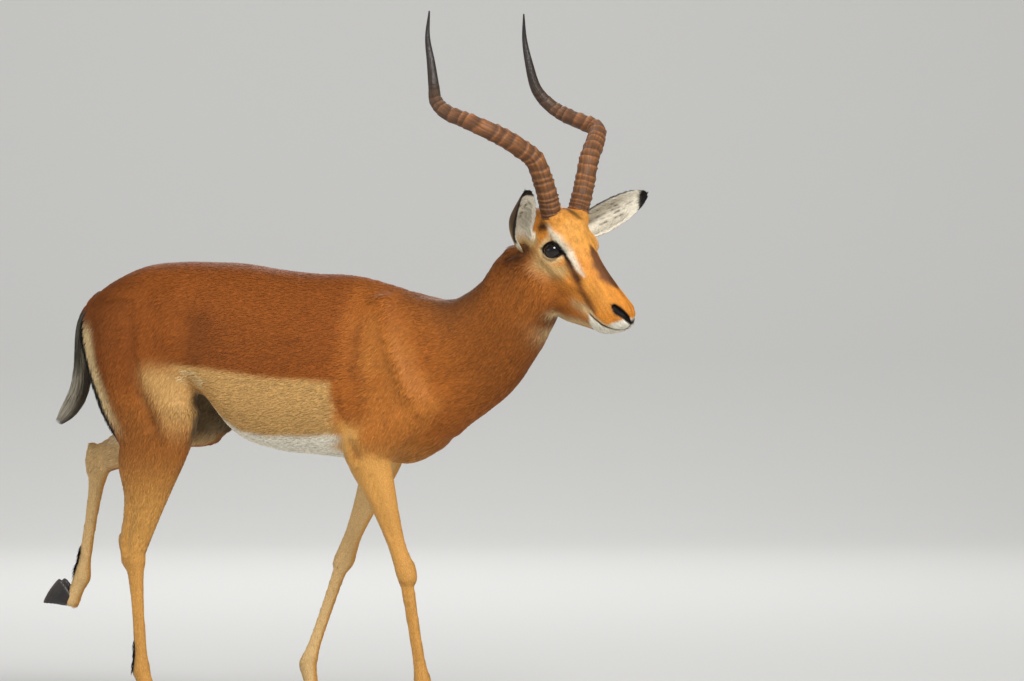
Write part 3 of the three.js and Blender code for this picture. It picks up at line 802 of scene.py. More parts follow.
def foreleg_forms(leg, knee, fetlock, elbow):
    """Knee, the grooves beside the cannon and on the forearm, and the point of the elbow."""
    side, down, run = side_of(leg), unit(fetlock - knee), knee - elbow
    return [
        ([knee + [14, 0, 16], knee + [15, 0, -14]], 13, 2.6),
        *(([knee + down * 22 + [0, out * 13, 0], fetlock - down * 34 + [-4, out * 9, 0]], 4.5, -1.6)
          for out in (side, -side)),
        ([elbow + run * 0.2 + [6, side * 30, 0], elbow + run * 0.7 + [2, side * 18, 0]], 6, -2.6),
        ([elbow + [-34, side * 8, 8], elbow + [-38, side * 4, -6]], 12, 4.0),
    ]


def hindleg_forms(leg, hock, fetlock, stifle):
    """Point of the hock, the hollows before its tendon, the grooves of the cannon and the kneecap."""
    side, down, run = side_of(leg), unit(fetlock - hock), hock - stifle
    back = unit(backward(down))
    upper, lower = stifle + run * 0.6 + back * 30, hock - run * 0.04 + back * 16
    return [
        ([hock + back * 34 - down * 10, hock + back * 34 + down * 4], 12, -1.5),
        *(([upper + [0, out * 16, 0], lower + [0, out * 12, 0]], 8, -4.0) for out in (side, -side)),
        *(([hock + down * 30 + [0, out * 13, 0], fetlock - down * 34 + [0, out * 10, 0]], 4.5, -1.6)
          for out in (side, -side)),
        ([stifle + [30, side * 10, -6], stifle + [26, side * 10, -26]], 14, 3.0),
    ]


def all_forms():
    """Line, width and height of every form: of the body, the joints and the head."""
    forms = []
    for path, *size in BODY_FORMS:
        forms += [(line, *size) for line in ((path,) if path[0][1] == 0 else (path, mirrored(path)))]
    for leg, joint in LEGS.items():
        fetlock, coronet = joint["fetlock"], joint["coronet"]
        if leg.startswith("fore"):
            forms += foreleg_forms(leg, joint["knee"], fetlock, joint["elbow"])
        else:
            forms += hindleg_forms(leg, joint["hock"], fetlock, joint["stifle"])
        ergot = [fetlock + (coronet - fetlock) * place - [14, 0, 0] for place in (0.05, 0.3)]
        forms.append((ergot, 8, 2.2))
    return forms + [(on_face(path, sign), *size) for path, *size in HEAD_FORMS for sign in (-1, 1)]


def form_height(points):
    """Sum over the forms of height times a bell of the distance to the form's line."""
    total = np.zeros(len(points))
    for line, width, height in all_forms():
        total += height * bell(distance_to_line(points, line)[0], width)
    return total


skin_points = skin_points + normals_of(skin_mesh) * form_height(skin_points)[:, None]
write_points(skin_mesh, skin_points)


def carve_muzzle(points, normal):
    """Nostrils as deep curled slits, the mouth as a furrow between the lips, and the line under the nose."""
    for sign in (-1, 1):
        away, place = distance_to_line(points, on_face(NOSTRIL, sign))
        width = np.interp(place, *NOSTRIL_REACH) * 0.94
        inward = unit(normal * 0.6 + head_left * sign * 0.5 + along * 0.5)
        deep = width * 1.15 * np.clip(1 - (away / width) ** 2, 0, 1) ** 0.7
        points = points - inward * deep[:, None]
        away, place = distance_to_line(points, on_face(MOUTH, sign))
        points = points - normal * (3.4 * bell(away, 2.0) * step(place, -0.02, 0.12))[:, None]
    return points - normal * (2.0 * bell(off_face_line(points, PHILTRUM), 1.9))[:, None]


def muzzle_places(points):
    """Distance from the nostril's line as a share of its half width, and from the mouth and philtrum."""
    nostril = []
    for sign in SIDES.values():
        away, place = distance_to_line(points, on_face(NOSTRIL, sign))
        nostril.append(away / np.interp(place, *NOSTRIL_REACH))
    return np.minimum(*nostril), off_face_line(points, MOUTH), off_face_line(points, PHILTRUM)


muzzle_lines = muzzle_places(skin_points)  # before it is carved, for the colours
skin_points = carve_muzzle(skin_points, normals_of(skin_mesh))


LID_EDGE = 1.06  # lid_level to which the rim of the lids is drawn


def set_lids(points):
    """Skin round the eye: behind the eyeball between the lids, just over it at their edge, and then
    back to the head's own surface, with a crease above and a fold below."""
    for sign in (-1, 1):
        centre, forward, upward, out = eye_frame(sign)
        g, z = lid_level(points, sign)
        near = (z > -2) & (g < 4)
        d = points - centre
        x, y = d @ forward, d @ upward
        on_edge = near & (np.abs(g - LID_EDGE) < 0.09)
        pull = np.where(on_edge, LID_EDGE / np.maximum(g, 0.2), 1.0)
        flat = (forward * x[:, None] + upward * y[:, None]) * pull[:, None]
        d = flat + out * z[:, None]
        radius = np.linalg.norm(d, axis=1)
        lid = EYE_RADIUS + 1.5 + 0.9 * bell(g - 1.3, 0.2)
        crease = np.where(y > 0, -1.7, -1.0) * bell(g - 1.75, 0.16)
        swell = np.where(y > 0, 1.3, 1.2) * bell(g - 2.15, 0.3)
        blend = step(g, 1.3, 2.7)
        target = lid * (1 - blend) + radius * blend + crease + swell
        target = np.where(g < 1.0, EYE_RADIUS - 3.0, target)
        moved = centre + d / np.maximum(radius, 1e-6)[:, None] * target[:, None]
        points = np.where(near[:, None], moved, points)
    return points


skin_points = set_lids(skin_points)
write_points(skin_mesh, skin_points)
skin_normals = normals_of(skin_mesh)

# ---------------------------------------------------------------- markings


def linear(r, g, b):
    """Colour as written, 0 to 255, to the light it stands for."""
    c = np.array([r, g, b]) / 255
    return np.where(c <= 0.04045, c / 12.92, ((c + 0.055) / 1.055) ** 2.4)


COLOURS = {name: linear(*written) for name, written in {
    "saddle": (138, 74, 24), "saddle_dark": (88, 46, 16), "rufous": (162, 92, 34),
    "shoulder": (184, 116, 50), "neck": (142, 80, 28), "nape": (92, 58, 32), "umber": (72, 42, 20),
    "tan": (196, 152, 92), "thigh": (150, 94, 42), "leg": (206, 150, 78), "orange": (216, 136, 50),
    "forehead": (224, 158, 76), "cream": (224, 196, 144), "white": (238, 230, 210),
    "khaki": (196, 166, 112), "grey": (140, 132, 116), "dark": (44, 32, 24), "nose": (98, 62, 46),
    # groin: a painted shade, the dark of the shadow between the thighs and the belly
    "black": (18, 15, 14), "streak": (112, 62, 24), "ear_back": (104, 86, 60), "groin": (74, 62, 46),
}.items()}


def laid_over(colour, other, cover):
    """A colour with another over it, covering it by 0 to 1."""
    cover = cover[:, None]
    return colour * (1 - cover) + other * cover


def layered(base, layers):
    """Colours laid over one another, each with its own cover, which is kept from 0 to 1."""
    colour = np.tile(COLOURS[base], (len(layers[0][1]), 1))
    for name, cover in layers:
        colour = laid_over(colour, COLOURS[name], np.clip(cover, 0, 1))
    return colour


def wobble(points, size):
    """Gentle uneven edge for a marking: a sum of three slow waves, about -1 to 1."""
    x, y, z = (points / size).T
    return (np.sin(x + 1.7 * y) + np.sin(1.3 * z - 0.7 * x + 2) + np.sin(2.1 * y + 0.9 * z + 4)) / 3


def side_mark(points, path, width):
    """A mark drawn in side view on both flanks: path of x and z."""
    flat = points * [1, 0, 1]
    line = [(x, 0, z) for x, z in path]
    return bell(distance_to_line(flat, line)[0], width) * step(np.abs(points[:, 1]), 40, 70)


def heel_line(leg, end):
    """Line behind a hind cannon, down to the share end of its length, along its black tuft."""
    hock = LEGS[leg]["hock"]
    cannon = LEGS[leg]["fetlock"] - hock
    back = unit(backward(cannon))
    return [hock + cannon * place + back * 15 for place in (0.76, end)]


# x and height of the lower edges of the saddle and of the flank, and of the tan patch on the thigh
SADDLE_LINE = ([-140, -106, -6, 65, 218, 300], [722, 716, 709, 699, 692, 690])
BELLY_LINE = ([-120, -77, -37, 5, 62, 130, 200, 300], [670, 650, 610, 589, 581, 584, 590, 580])
THIGH_LINE = ([-214, -200, -173, -159, -110], [686, 667, 632, 600, 585])
BUTTOCK_LINE = ([569, 618, 674, 720, 766, 806], [-260, -283, -309, -328, -339, -347])  # height and x
# line of the furrow between the thigh's two great muscles, along which painted shade lies
FURROW = [(-237, 781), (-235, 735), (-224, 693), (-194, 655), (-171, 615), (-156, 575)]  # of the thigh


def body_markings(points, normal, share):
    """Colour of trunk, neck and legs by height, side and nearness to the marks."""
    x, y, z = points.T
    out = np.abs(y)
    edge = z + 3 * wobble(points, 21)
    outward = np.sign(y) * normal[:, 1]
    saddle_line = np.interp(x, *SADDLE_LINE)
    belly_line = np.interp(x, *BELLY_LINE)
    flank = (share["trunk"] * step(x, -190, -140) * step(x, 224, 206)
             * step(edge, saddle_line + 5, saddle_line - 5))
    belly = share["trunk"] * step(edge, belly_line + 6, belly_line - 6) * step(x, 300, 262)
    spine = bell(y, 40) * step(normal[:, 2], 0.2, 0.8) * step(x, 450, 350)
    patch = z - np.interp(x, *THIGH_LINE)
    thigh_tan = (share["hind"] * step(patch + 6 * wobble(points, 13), -44, 56) * step(edge, 744, 692)
                 * step(x, -232, -186))
    low_leg = np.clip(share["lower"] + np.where(x < 0, step(z, 570, 400), step(z, 600, 480)), 0, 1)
    inside = step(outward, -0.2, -0.7) * (1 - share["trunk"]) * step(z, 720, 660)
    behind = x - np.interp(z, *BUTTOCK_LINE)
    rump = step(x, -200, -240) * step(z, 548, 592) * step(z + 0.35 * out, 842, 812)
    pale = rump * step(behind, 28, 2) * step(z, 560, 640)
    stripe = rump * step(behind, -8, -12) * step(behind, -46, -36) * step(out, 58, 64) * step(z, 812, 792)
    rump_white = rump * step(out, 63, 57) * step(behind, -14, -20)
    shoulder = share["fore"] * step(z, 840, 760)
    saddle = step(edge, saddle_line - 8, saddle_line + 8) * step(x, 246, 206)
    # painted shadow in the groin, between the thigh and the belly
    groin_shade = (step(out, 104, 84) * step(z, 556, 590) * step(z, 690, 664) * step(x, -190, -150)
             * step(x, -14, -60))
    # painted shade in the flank hollow
    hollow = side_mark(points, [(-84, 800), (-88, 728)], 27)
    # painted shade in the furrow of the thigh
    furrow = side_mark(points, FURROW, 11)
    heel = sum(bell(distance_to_line(points, heel_line("hindleg_" + n, 0.95))[0], 10) for n in SIDES)
    return layered("rufous", [
        ("saddle", saddle),
        ("saddle", share["hind"] * step(z, 560, 760) * 0.9),
        # painted shade: the hindquarters darker toward the rear
        ("saddle_dark", step(x, -200, -330) * step(z, 560, 680) * 0.45),
        # darker along the spine, and painted shade in the flank hollow
        ("saddle_dark", spine * 0.4 + hollow * 0.4 * saddle),
        ("shoulder", shoulder * 0.55),
        # painted shade in the hollow behind the shoulder blade, and a painted highlight along its ridge
        ("saddle_dark", side_mark(points, [(262, 800), (262, 700)], 9) * 0.35),
        ("shoulder", side_mark(points, [(290, 815), (294, 700)], 14) * 0.4),
        ("tan", flank),
        ("thigh", share["hind"] * step(z, 700, 600) * 0.6),
        ("tan", thigh_tan * 0.95),
        # painted shade in the furrow of the thigh
        ("saddle_dark", furrow * 0.4 * share["hind"]),
        ("leg", low_leg),
        ("cream", inside * 0.6),
        ("cream", low_leg * step(normal[:, 0], -0.2, -0.8) * 0.35),
        # painted shadow in the groin, on the faces turned in
        ("groin", groin_shade * step(outward, 0.5, 0.0) * 0.85),
        ("white", belly),
        ("cream", pale * 0.85),
        ("white", rump_white),
        ("black", stripe),
        ("black", heel * 1.5),
    ])


# line behind the jaw, where a painted shadow lies over darker hair
JAW_EDGE = [(8, -92, 56), (24, -118, 48), (52, -146, 36), (92, -158, 24), (134, -156, 14)]


def neck_markings(points, normal):
    """Brown neck with a painted highlight of rufous high up, a dark nape, a painted shadow behind the jaw
    over its darker hair, and a pale throat.
    """
    x, y, z = points.T
    nape = bell(y + 20, 40) * step(normal[:, 2], 0.0, 0.5) * step(x, 650, 600)
    # painted shadow behind the jaw, over its darker hair
    shade = bell(off_face_line(points, JAW_EDGE), 24)
    throat = bell(distance_to_line(points, [face_point(104, -186, 0), face_point(146, -176, 0)])[0], 30)
    return layered("neck", [
        ("rufous", step(x, 520, 400) * 0.5),
        # painted highlight: rufous high up the neck
        ("rufous", step(z, 800, 920) * 0.4),
        ("nape", nape * 0.85),
        ("umber", shade * 0.75),
        ("cream", throat * 0.6),
    ])


def jaw_place(points):
    """How far in front of the jaw's hind edge a point is, along the face."""
    a, p, _ = face_coordinates(points)
    return a + 20 + 0.44 * (p + 60)


SIDE_ON = np.array([1, 1, 0.35])  # marks of the face are drawn nearly in side view
# pale stripe over the eye, and its half width from end to end
BROW = [(14, -12, 47), (24, -17, 50), (34, -21, 51), (45, -18, 49), (56, -16, 46), (72, -19, 44),
        (98, -27, 41), (121, -31, 37), (146, -32, 32)]
BROW_WIDTHS = [0, 3.4, 5.2, 6.4, 7, 7.4, 6.4, 4.6, 0]


def face_markings(points):
    """Face colours set out along the face line: bridge, eyebrow stripe, tear line, cheek and lips."""
    a, p, left = face_coordinates(points)
    out = np.abs(left)
    local = np.stack([a, p, out], 1)

    def mark(path, width):
        return bell(distance_to_line(local * SIDE_ON, np.array(path) * SIDE_ON)[0], width)

    def band(path, widths, soft=1.6):
        away, place = distance_to_line(local * SIDE_ON, np.array(path) * SIDE_ON)
        half = np.interp(place, np.linspace(0, 1, len(widths)), widths)
        return step(away, half + soft, half - soft) * step(half, 0.2, 1.5)

    rear = step(jaw_place(points), 92, 6)
    mouth = np.interp(a, [190, 196, 211, 229, 245, 257, 264], [-78, -77, -76, -71, -63, -55, -45])
    lips = step(a - 0.476 * p + 1.2 * wobble(points, 4), 266.5, 271.5) * step(p, mouth - 1, mouth + 1)
    chin = step(mouth - p, -1, 2) * step(a + 1.1 * p, 99, 112) * step(a, 184, 196)
    half_bridge = np.interp(a, [84, 102, 129, 160, 182, 198], [0, 10, 17, 18, 11, 0])
    bridge = step(out - half_bridge + 2 * wobble(points, 6), 5, -6) * step(p, -27, -18) * step(a, 80, 96)
    g = nearer_lids(points)
    nostril, mouth_line, groove = muzzle_lines
    strands = 1 + 0.2 * wobble(local * [0.22, 1, 1], 2.6)[:, None]
    return strands * layered("orange", [
        # darker low on the cheek and jaw: browner hair there, deepened with painted shade
        ("rufous", step(p, -56, -100) * 0.85),
        ("neck", step(p, -84, -128) * 0.6),
        ("forehead", bell(a - 60, 62) * step(p, -34, -8) * 0.9),
        ("forehead", mark([(150, -36, 32), (205, -32, 27)], 20) * 0.5),
        ("rufous", step(a, 22, -18) * 0.6 * step(p, -20, -60)),
        ("neck", rear * step(p, -52, -96)),
        # painted shadow behind the jaw, over its darker hair
        ("umber", bell(off_face_line(points, JAW_EDGE), 27) * 0.75),
        ("khaki", mark([(14, -64, 54), (40, -72, 52)], 15) * 0.45),
        ("khaki", mark([(58, -80, 50), (84, -74, 48), (102, -58, 44)], 15) * 0.85),
        ("khaki", mark([(-8, -84, 56), (10, -70, 55)], 12) * 0.3),
        ("cream", mark([(158, -88, 34), (187, -79, 27)], 10) * 0.45),
        ("cream", mark([(128, -146, 9), (157, -134, 9), (187, -111, 12), (206, -99, 12)], 8) * 0.7),
        ("cream", mark([(178, -77, 27), (193, -72, 26)], 8) * 0.7),
        ("streak", mark([(128, -45, 38), (159, -56, 32), (180, -61, 28.5), (198, -66, 26)], 8.5) * 0.85),
        ("umber", mark([(160, -57, 32), (178, -62, 28)], 6) * 0.4),
        ("cream", step(g, 2.7, 1.8) * 0.75),
        ("grey", step(g, 1.9, 1.4) * step(p, -46, -60) * 0.5),
        ("white", band(BROW, BROW_WIDTHS, 5.2) * 0.86),
        ("dark", mark([(10, -33, 53), (16, -24, 52)], 9.5) * 0.95),
        ("dark", mark([(-4, 8, 0), (16, 14, 0), (34, 16, 0)], 3.6) * 0.8),
        ("nose", bridge * 0.9),
        ("umber", bridge * bell(out, 9) * 0.35),
        ("black", step(g, 1.5, 1.28)),
        ("black", band([(49, -53, 52), (41, -58, 53), (34, -61, 53)], [4, 2.6, 0])),
        ("black", band([(70, -34, 50), (80, -31, 48), (92, -34, 45), (107, -37, 42), (120, -41, 40)],
                       [5, 5, 4.2, 3.4, 0])),
        ("umber", mark([(100, -37, 43), (114, -41, 41), (136, -46, 37)], 6.5)),
        ("white", chin),
        ("white", lips),
        ("cream", mark([(194, -72, 26), (211, -71, 25), (229, -66, 24), (245, -58, 20)], 2.8) * 0.9),
        ("nose", step(nostril, 1.5, 1.05) * 0.5),
        ("black", step(nostril, 1.12, 0.92)),
        ("black", bell(groove, 2.8) * 1.4),
        ("black", bell(mouth_line, 2.0) * 1.25),
    ])


# place across the ear, and start and end along it
EAR_STREAKS = ((-0.5, 0.3, 0.7), (-0.22, 0.36, 0.8), (0.02, 0.3, 0.84), (0.24, 0.42, 0.78), (0.46, 0.3, 0.66))


def ear_markings(points, normal, name):
    """White inside with fine dark streaks between the hairs, grey-brown back, black tip and rear rim."""
    base, stem, hollow, across = ear_frame(name)
    d = points - base
    s = d @ stem / EAR_LENGTH
    u = (d @ across) / ear_half_width(np.clip(s, 0, 1))
    inner = step(normal @ hollow, -0.25, 0.1)
    rear = -np.sign(across @ heading)
    broken = step(np.sin(70 * s + 9 * u) + np.sin(31 * s + 2), -0.5, 0.6)
    streaks = sum(
        bell(u - place - 0.1 * np.sin(5 * s), 0.06) * step(s, low, low + 0.08) * step(s, high, high - 0.08)
        for place, low, high in EAR_STREAKS
    )
    tip = step(s - 0.07 * u * rear, 0.86, 0.9)
    rim = step(u * rear, 0.82, 0.94) * step(s, 0.12, 0.22)
    return layered("ear_back", [
        ("rufous", step(s, 0.3, 0.05) * 0.7),
        ("umber", step(u * rear, 0.1, 0.9) * 0.5),
        ("khaki", step(s, 0.5, 0.1) * 0.7),
        ("white", inner * step(s, 0.03, 0.17) * 0.92),
        ("dark", inner * streaks * broken * 0.95),
        ("umber", inner * bell((s - 0.26) / 0.1, 1) * bell((u - 0.1) / 0.25, 1) * 0.7),
        ("black", tip),
        ("black", rim * 0.95),
    ])


def tail_markings(points, normal):
    """Black upper side drawn out on to the flanks of the tail near its root; below, white hair painted grey
    with shade, whiter on the sides turned back and to the right, with painted shade darker on its front low
    down.
    """
    _, y, z = points.T
    line = bell(y - 1, np.interp(z, [680, 730], [9, 40])) * step(normal[:, 0], 0.6, 0.1)
    # painted shade on the front of the tail low down
    under = step(normal[:, 0], 0.35, 0.8) * step(z, 740, 690)
    # grey: the tail's white hair painted in shade
    return layered("grey", [
        ("white", step(normal[:, 1] * 0.7 + normal[:, 0], 0.4, -0.7) * 0.3),
        ("dark", under * 0.75),
        ("saddle", step(z, 800, 830)),
        ("black", line * step(z, 834, 812) * step(z, 620, 690)),
    ])


def group_share(owner, *words):
    """1 on the vertices of the guides whose names hold a word, with a soft edge."""
    chosen = [k for k, n in enumerate(guide_names) if any(word in n for word in words)]
    return spread(np.isin(owner, chosen), 3)


def markings(points, normal, owner):
    """Colour of skin and coat at any point: each region's colours, joined softly."""
    share = {
        "trunk": group_share(owner, "trunk"), "fore": group_share(owner, "scapula", "arm"),
        "hind": group_share(owner, "thigh", "gaskin"), "lower": group_share(owner, "cannon", "forearm"),
    }
    _, p, _ = face_coordinates(points)
    colour = body_markings(points, normal, share)
    beyond = dot(points - np.array([455.0, 0, 760]), unit([0.75, 0, 0.66]))
    beyond = np.where(points[:, 0] > 330, beyond + 8 * wobble(points, 30), -99)
    colour = laid_over(colour, neck_markings(points, normal), step(beyond, -60, 40))
    in_face = step(jaw_place(points), -30, 34) * step(p, -190, -158)
    colour = laid_over(colour, face_markings(points), in_face)
    for name in SIDES:
        base, stem, _, _ = ear_frame(name)
        in_ear = np.where(owner == guide_names.index("ear_" + name), step((points - base) @ stem, -8, 8), 0)
        colour = laid_over(colour, ear_markings(points, normal, name), in_ear)
    in_tail = np.where(owner == guide_names.index("tail"), step(points[:, 0], -358, -372), 0)
    return laid_over(colour, tail_markings(points, normal), in_tail)


skin_owner, skin_ring = body_places(skin_points)
skin_lie = coat_lie(skin_owner, skin_ring)
skin_colours = markings(skin_points, skin_normals, skin_owner)

# ---------------------------------------------------------------- making meshes


def make_mesh(name, points, corners, counts, colours=None):
    """A smooth mesh from its points in millimetres and its faces as one run of corners."""
    mesh = bpy.data.meshes.new(name)
    mesh.vertices.add(len(points))
    mesh.vertices.foreach_set("co", ((np.asarray(points) - CENTRE) * 0.001).ravel())
    mesh.loops.add(len(corners))
    mesh.loops.foreach_set("vertex_index", np.asarray(corners, np.int32))
    mesh.polygons.add(len(counts))
    mesh.polygons.foreach_set("loop_start", np.concatenate([[0], np.cumsum(counts)[:-1]]).astype(np.int32))
    mesh.update(calc_edges=True)
    mesh.shade_smooth()
    if colours is not None:
        layer = mesh.color_attributes.new("markings", "FLOAT_COLOR", "POINT")
        rgba = np.concatenate([colours, np.ones((len(points), 1))], 1)
        layer.data.foreach_set("color", rgba.astype(np.float32).ravel())
    return mesh


def add_piece(name, mesh, material, replaces=()):
    """Puts a finished mesh in the scene, riding on the still body."""
    ob = placed(name, mesh)
    mesh.materials.append(material)
    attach(ob, "root")
    if replaces:
        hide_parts(*replaces)
    return ob


def add_formed(name, shape, material, node):
    """A piece that stands for one solid, from its points, its faces and its values at the points."""
    points, faces, values = shape
    corners = np.concatenate([np.asarray(face) for face in faces])
    mesh = make_mesh(name, points, corners, np.array([len(face) for face in faces]))
    for key, value in values.items():
        layer = mesh.attributes.new(key, "FLOAT", "POINT")
        layer.data.foreach_set("value", np.asarray(value, np.float32))
    add_piece(name, mesh, material, [node])

# ---------------------------------------------------------------- materials


def new_material(name):
    """A new material, its nodes and its shader."""
    material = bpy.data.materials.new(name)
    material.use_nodes = True
    return material, material.node_tree, material.node_tree.nodes["Principled BSDF"]


def new_group(name, inputs, outputs):
    """An empty shader group with named sockets."""
    group = bpy.data.node_groups.new(name, "ShaderNodeTree")
    for direction, sockets in (("INPUT", inputs), ("OUTPUT", outputs)):
        for label, kind, *value in sockets:
            socket = group.interface.new_socket(label, in_out=direction, socket_type="NodeSocket" + kind)
            if value:
                socket.default_value = value[0]
    return group, group.nodes.new("NodeGroupInput"), group.nodes.new("NodeGroupOutput")


def feed(tree, node, values):
    """Fills a node's sockets: another node's output is linked, anything else is a constant."""
    for socket, value in values.items():
        if isinstance(value, bpy.types.NodeSocket):
            tree.links.new(value, node.inputs[socket])
        else:
            node.inputs[socket].default_value = value


def add_node(tree, kind, values, operation=None):
    node = tree.nodes.new("ShaderNode" + kind)
    if operation:
        node.operation = operation
    feed(tree, node, values)
    return node


def reading(tree, name):
    """Outputs of the attribute that the mesh carries under a name."""
    node = tree.nodes.new("ShaderNodeAttribute")
    node.attribute_name = name
    return node.outputs


def colour_ramp(tree, source, stops):
    """Colour along a value from 0 to 1, by stops of place and colour as written."""
    ramp = add_node(tree, "ValToRGB", {"Fac": source})
    while len(ramp.color_ramp.elements) < len(stops):
        ramp.color_ramp.elements.new(0.5)
    for element, (place, colour) in zip(ramp.color_ramp.elements, stops):
        element.position = place
        element.color = (*linear(*colour), 1)
    return ramp.outputs["Color"]


def map_range(tree, source, given, wanted):
    """A value moved from the given range to the wanted one, and kept within it."""
    values = {"Value": source, "From Min": given[0], "From Max": given[1]}
    values.update({"To Min": wanted[0], "To Max": wanted[1]})
    return add_node(tree, "MapRange", values).outputs["Result"]


def scaled(tree, colour, factor):
    return add_node(tree, "VectorMath", {0: colour, "Scale": factor}, "SCALE").outputs["Vector"]


def relief(tree, height, strength, distance, under=None):
    """Normal of a fine relief, over another one if that is given."""
    values = {"Height": height, "Strength": strength, "Distance": distance}
    if under is not None:
        values["Normal"] = under
    return add_node(tree, "Bump", values).outputs["Normal"]


def hair_variation():
    """Uneven tone of a coat: colour times 1 + Strength (fine + broad - 1), with noises from 0 to 1 drawn
    out lengthwise. Height is the fine noise."""
    group, given, made = new_group(
        "hair_variation",
        [("Color", "Color", (0.5, 0.5, 0.5, 1)), ("Fine", "Float", 900.0), ("Broad", "Float", 14.0),
         ("Strength", "Float", 0.25)],
        [("Color", "Color"), ("Height", "Float")],
    )
    place = group.nodes.new("ShaderNodeTexCoord").outputs["Object"]
    place = add_node(group, "Mapping", {"Vector": place, "Scale": (0.35, 1.0, 0.8)}).outputs["Vector"]
    fine, broad = (
        add_node(group, "TexNoise", {"Detail": detail, "Vector": place, "Scale": given.outputs[label]})
        for label, detail in (("Fine", 3.0), ("Broad", 2.0))
    )
    total = add_node(group, "Math", {0: fine.outputs["Fac"], 1: broad.outputs["Fac"]}, "ADD")
    centred = add_node(group, "Math", {0: total.outputs[0], 1: 1.0}, "SUBTRACT")
    values = {0: centred.outputs[0], 1: given.outputs["Strength"], 2: 1.0}
    amount = add_node(group, "Math", values, "MULTIPLY_ADD")
    colour = scaled(group, given.outputs["Color"], amount.outputs[0])
    feed(group, made, {"Color": colour, "Height": fine.outputs["Fac"]})
    return group


HAIR_VARIATION = hair_variation()


def uneven_tone(tree, colour, fine, broad, strength):
    """Colour and height out of the shared variation."""
    node = tree.nodes.new("ShaderNodeGroup")
    node.node_tree = HAIR_VARIATION
    feed(tree, node, {"Color": colour, "Fine": fine, "Broad": broad, "Strength": strength})
    return node.outputs["Color"], node.outputs["Height"]


def coat_material(name, roughness, fine, strength, bumps):
    """Hair: the markings, made uneven, with a soft sheen and a fine relief."""
    material, tree, shader = new_material(name)
    colour, height = uneven_tone(tree, reading(tree, "markings")["Color"], fine, 14.0, strength)
    normal = relief(tree, height, bumps, 0.001)
    feed(tree, shader, {
        "Base Color": colour, "Normal": normal, "Roughness": roughness, "Specular IOR Level": 0.16,
    })
    return material


SKIN = coat_material("short_coat_skin", 0.6, 420.0, 0.35, 0.35)
TUFT = coat_material("coat_tufts", 0.55, 700.0, 0.3, 0.0)

# ---------------------------------------------------------------- the skin piece

skin_counts = read(skin_mesh.polygons, "loop_total")
skin_corners = read(skin_mesh.loops, "vertex_index")
flesh_nodes = ["trunk", "neck", "tail", "head", "ear_left", "ear_right", *LEGS]
whole_skin = make_mesh("skin", skin_points, skin_corners, skin_counts, skin_colours)
skin = add_piece("skin", whole_skin, SKIN, flesh_nodes)

# ---------------------------------------------------------------- coat

rng = np.random.default_rng(11)
MOST_TUFTS = 32000  # in one piece
# corners of a tuft's triangles: 0 its root, 1 and 2 the edges of its ridge, 3 the top of it and 4 its tip
TUFT_FACES = np.array([[0, 1, 3], [0, 3, 2], [0, 2, 1], [4, 3, 1], [4, 2, 3], [4, 1, 2]])
TUFT_PATCH = np.array([[0.5, 0.0], [0.0, 0.45], [1.0, 0.45], [0.5, 0.5], [0.5, 1.0]]) - 0.5
PATCH = 0.003  # size of a tuft on the unwrap
SWING = 0.13  # spread of the direction of hair, as the tangent of an angle
# kinds of guide in each region of the coat, its slot and the spread of tone among its tufts
REGIONS = {
    "body": (("trunk", "neck", "scapula", "arm", "thigh", "gaskin", "tail"), "coat", 0.12),
    "legs": (("cannon", "forearm"), "leg_coat", 0.12),
    "head": (("head",), "face_coat", 0.17),
    "ears": (("ear_left", "ear_right"), "ear_coat", 0.12),
}


def along_skin(direction, normal):
    """The direction laid flat on the skin."""
    return unit(direction - normal * dot(direction, normal)[:, None])


LIE_ROUNDS = 14  # of evening out the lie of the coat
for _ in range(LIE_ROUNDS):
    skin_lie = along_skin(neighbour_mean(along_skin(skin_lie, skin_normals)), skin_normals)


def unwrap(points, owner):
    """Place of each point on a flat chart of the skin: one cell for each guide, with the angle round the
    guide across it and the place along the guide up it. owner is one guide for each, or one for all."""
    uv = np.zeros((len(points), 2))
    owner = np.broadcast_to(owner, len(points))
    cells = math.ceil(math.sqrt(len(guides)))
    for k, guide in enumerate(guides):
        chosen = np.flatnonzero(owner == k)
        if not len(chosen):
            continue
        p = points[chosen]
        centre = guide["centre"]
        at = np.argmin((centre**2).sum(1) - 2 * p @ centre.T, axis=1)
        d = p - centre[at]
        angle = np.arctan2(dot(d, guide["up"][at]), dot(d, guide["left"][at]))
        reach = np.linalg.norm(np.diff(centre, axis=0), axis=1).sum()
        place = guide["t"][at] + dot(d, guide["tangent"][at]) / reach
        cell = np.array([k % cells, k // cells])
        flat = np.stack([angle / (2 * np.pi) + 0.5, np.clip(place * 0.9 + 0.05, 0, 1)], 1)
        uv[chosen] = (cell + 0.04 + 0.92 * flat) / cells
    return uv


def scatter(triangles, density):
    """Seeded points on the skin, so many to the square millimetre: triangle and corner weights."""
    corner = skin_points[triangles]
    area = np.linalg.norm(np.cross(corner[:, 1] - corner[:, 0], corner[:, 2] - corner[:, 0]), axis=1) / 2
    wanted = area * density[triangles].mean(1)
    count = np.floor(wanted + rng.random(len(wanted))).astype(int)
    chosen = np.repeat(np.arange(len(triangles)), count)
    return chosen, rng.dirichlet([1, 1, 1], len(chosen))


def blend_corners(values, corners, weight):
    """Values at points within triangles, from their corners and the weights of these."""
    picked = values[corners]
    return (picked * (weight if picked.ndim == 2 else weight[..., None])).sum(1)


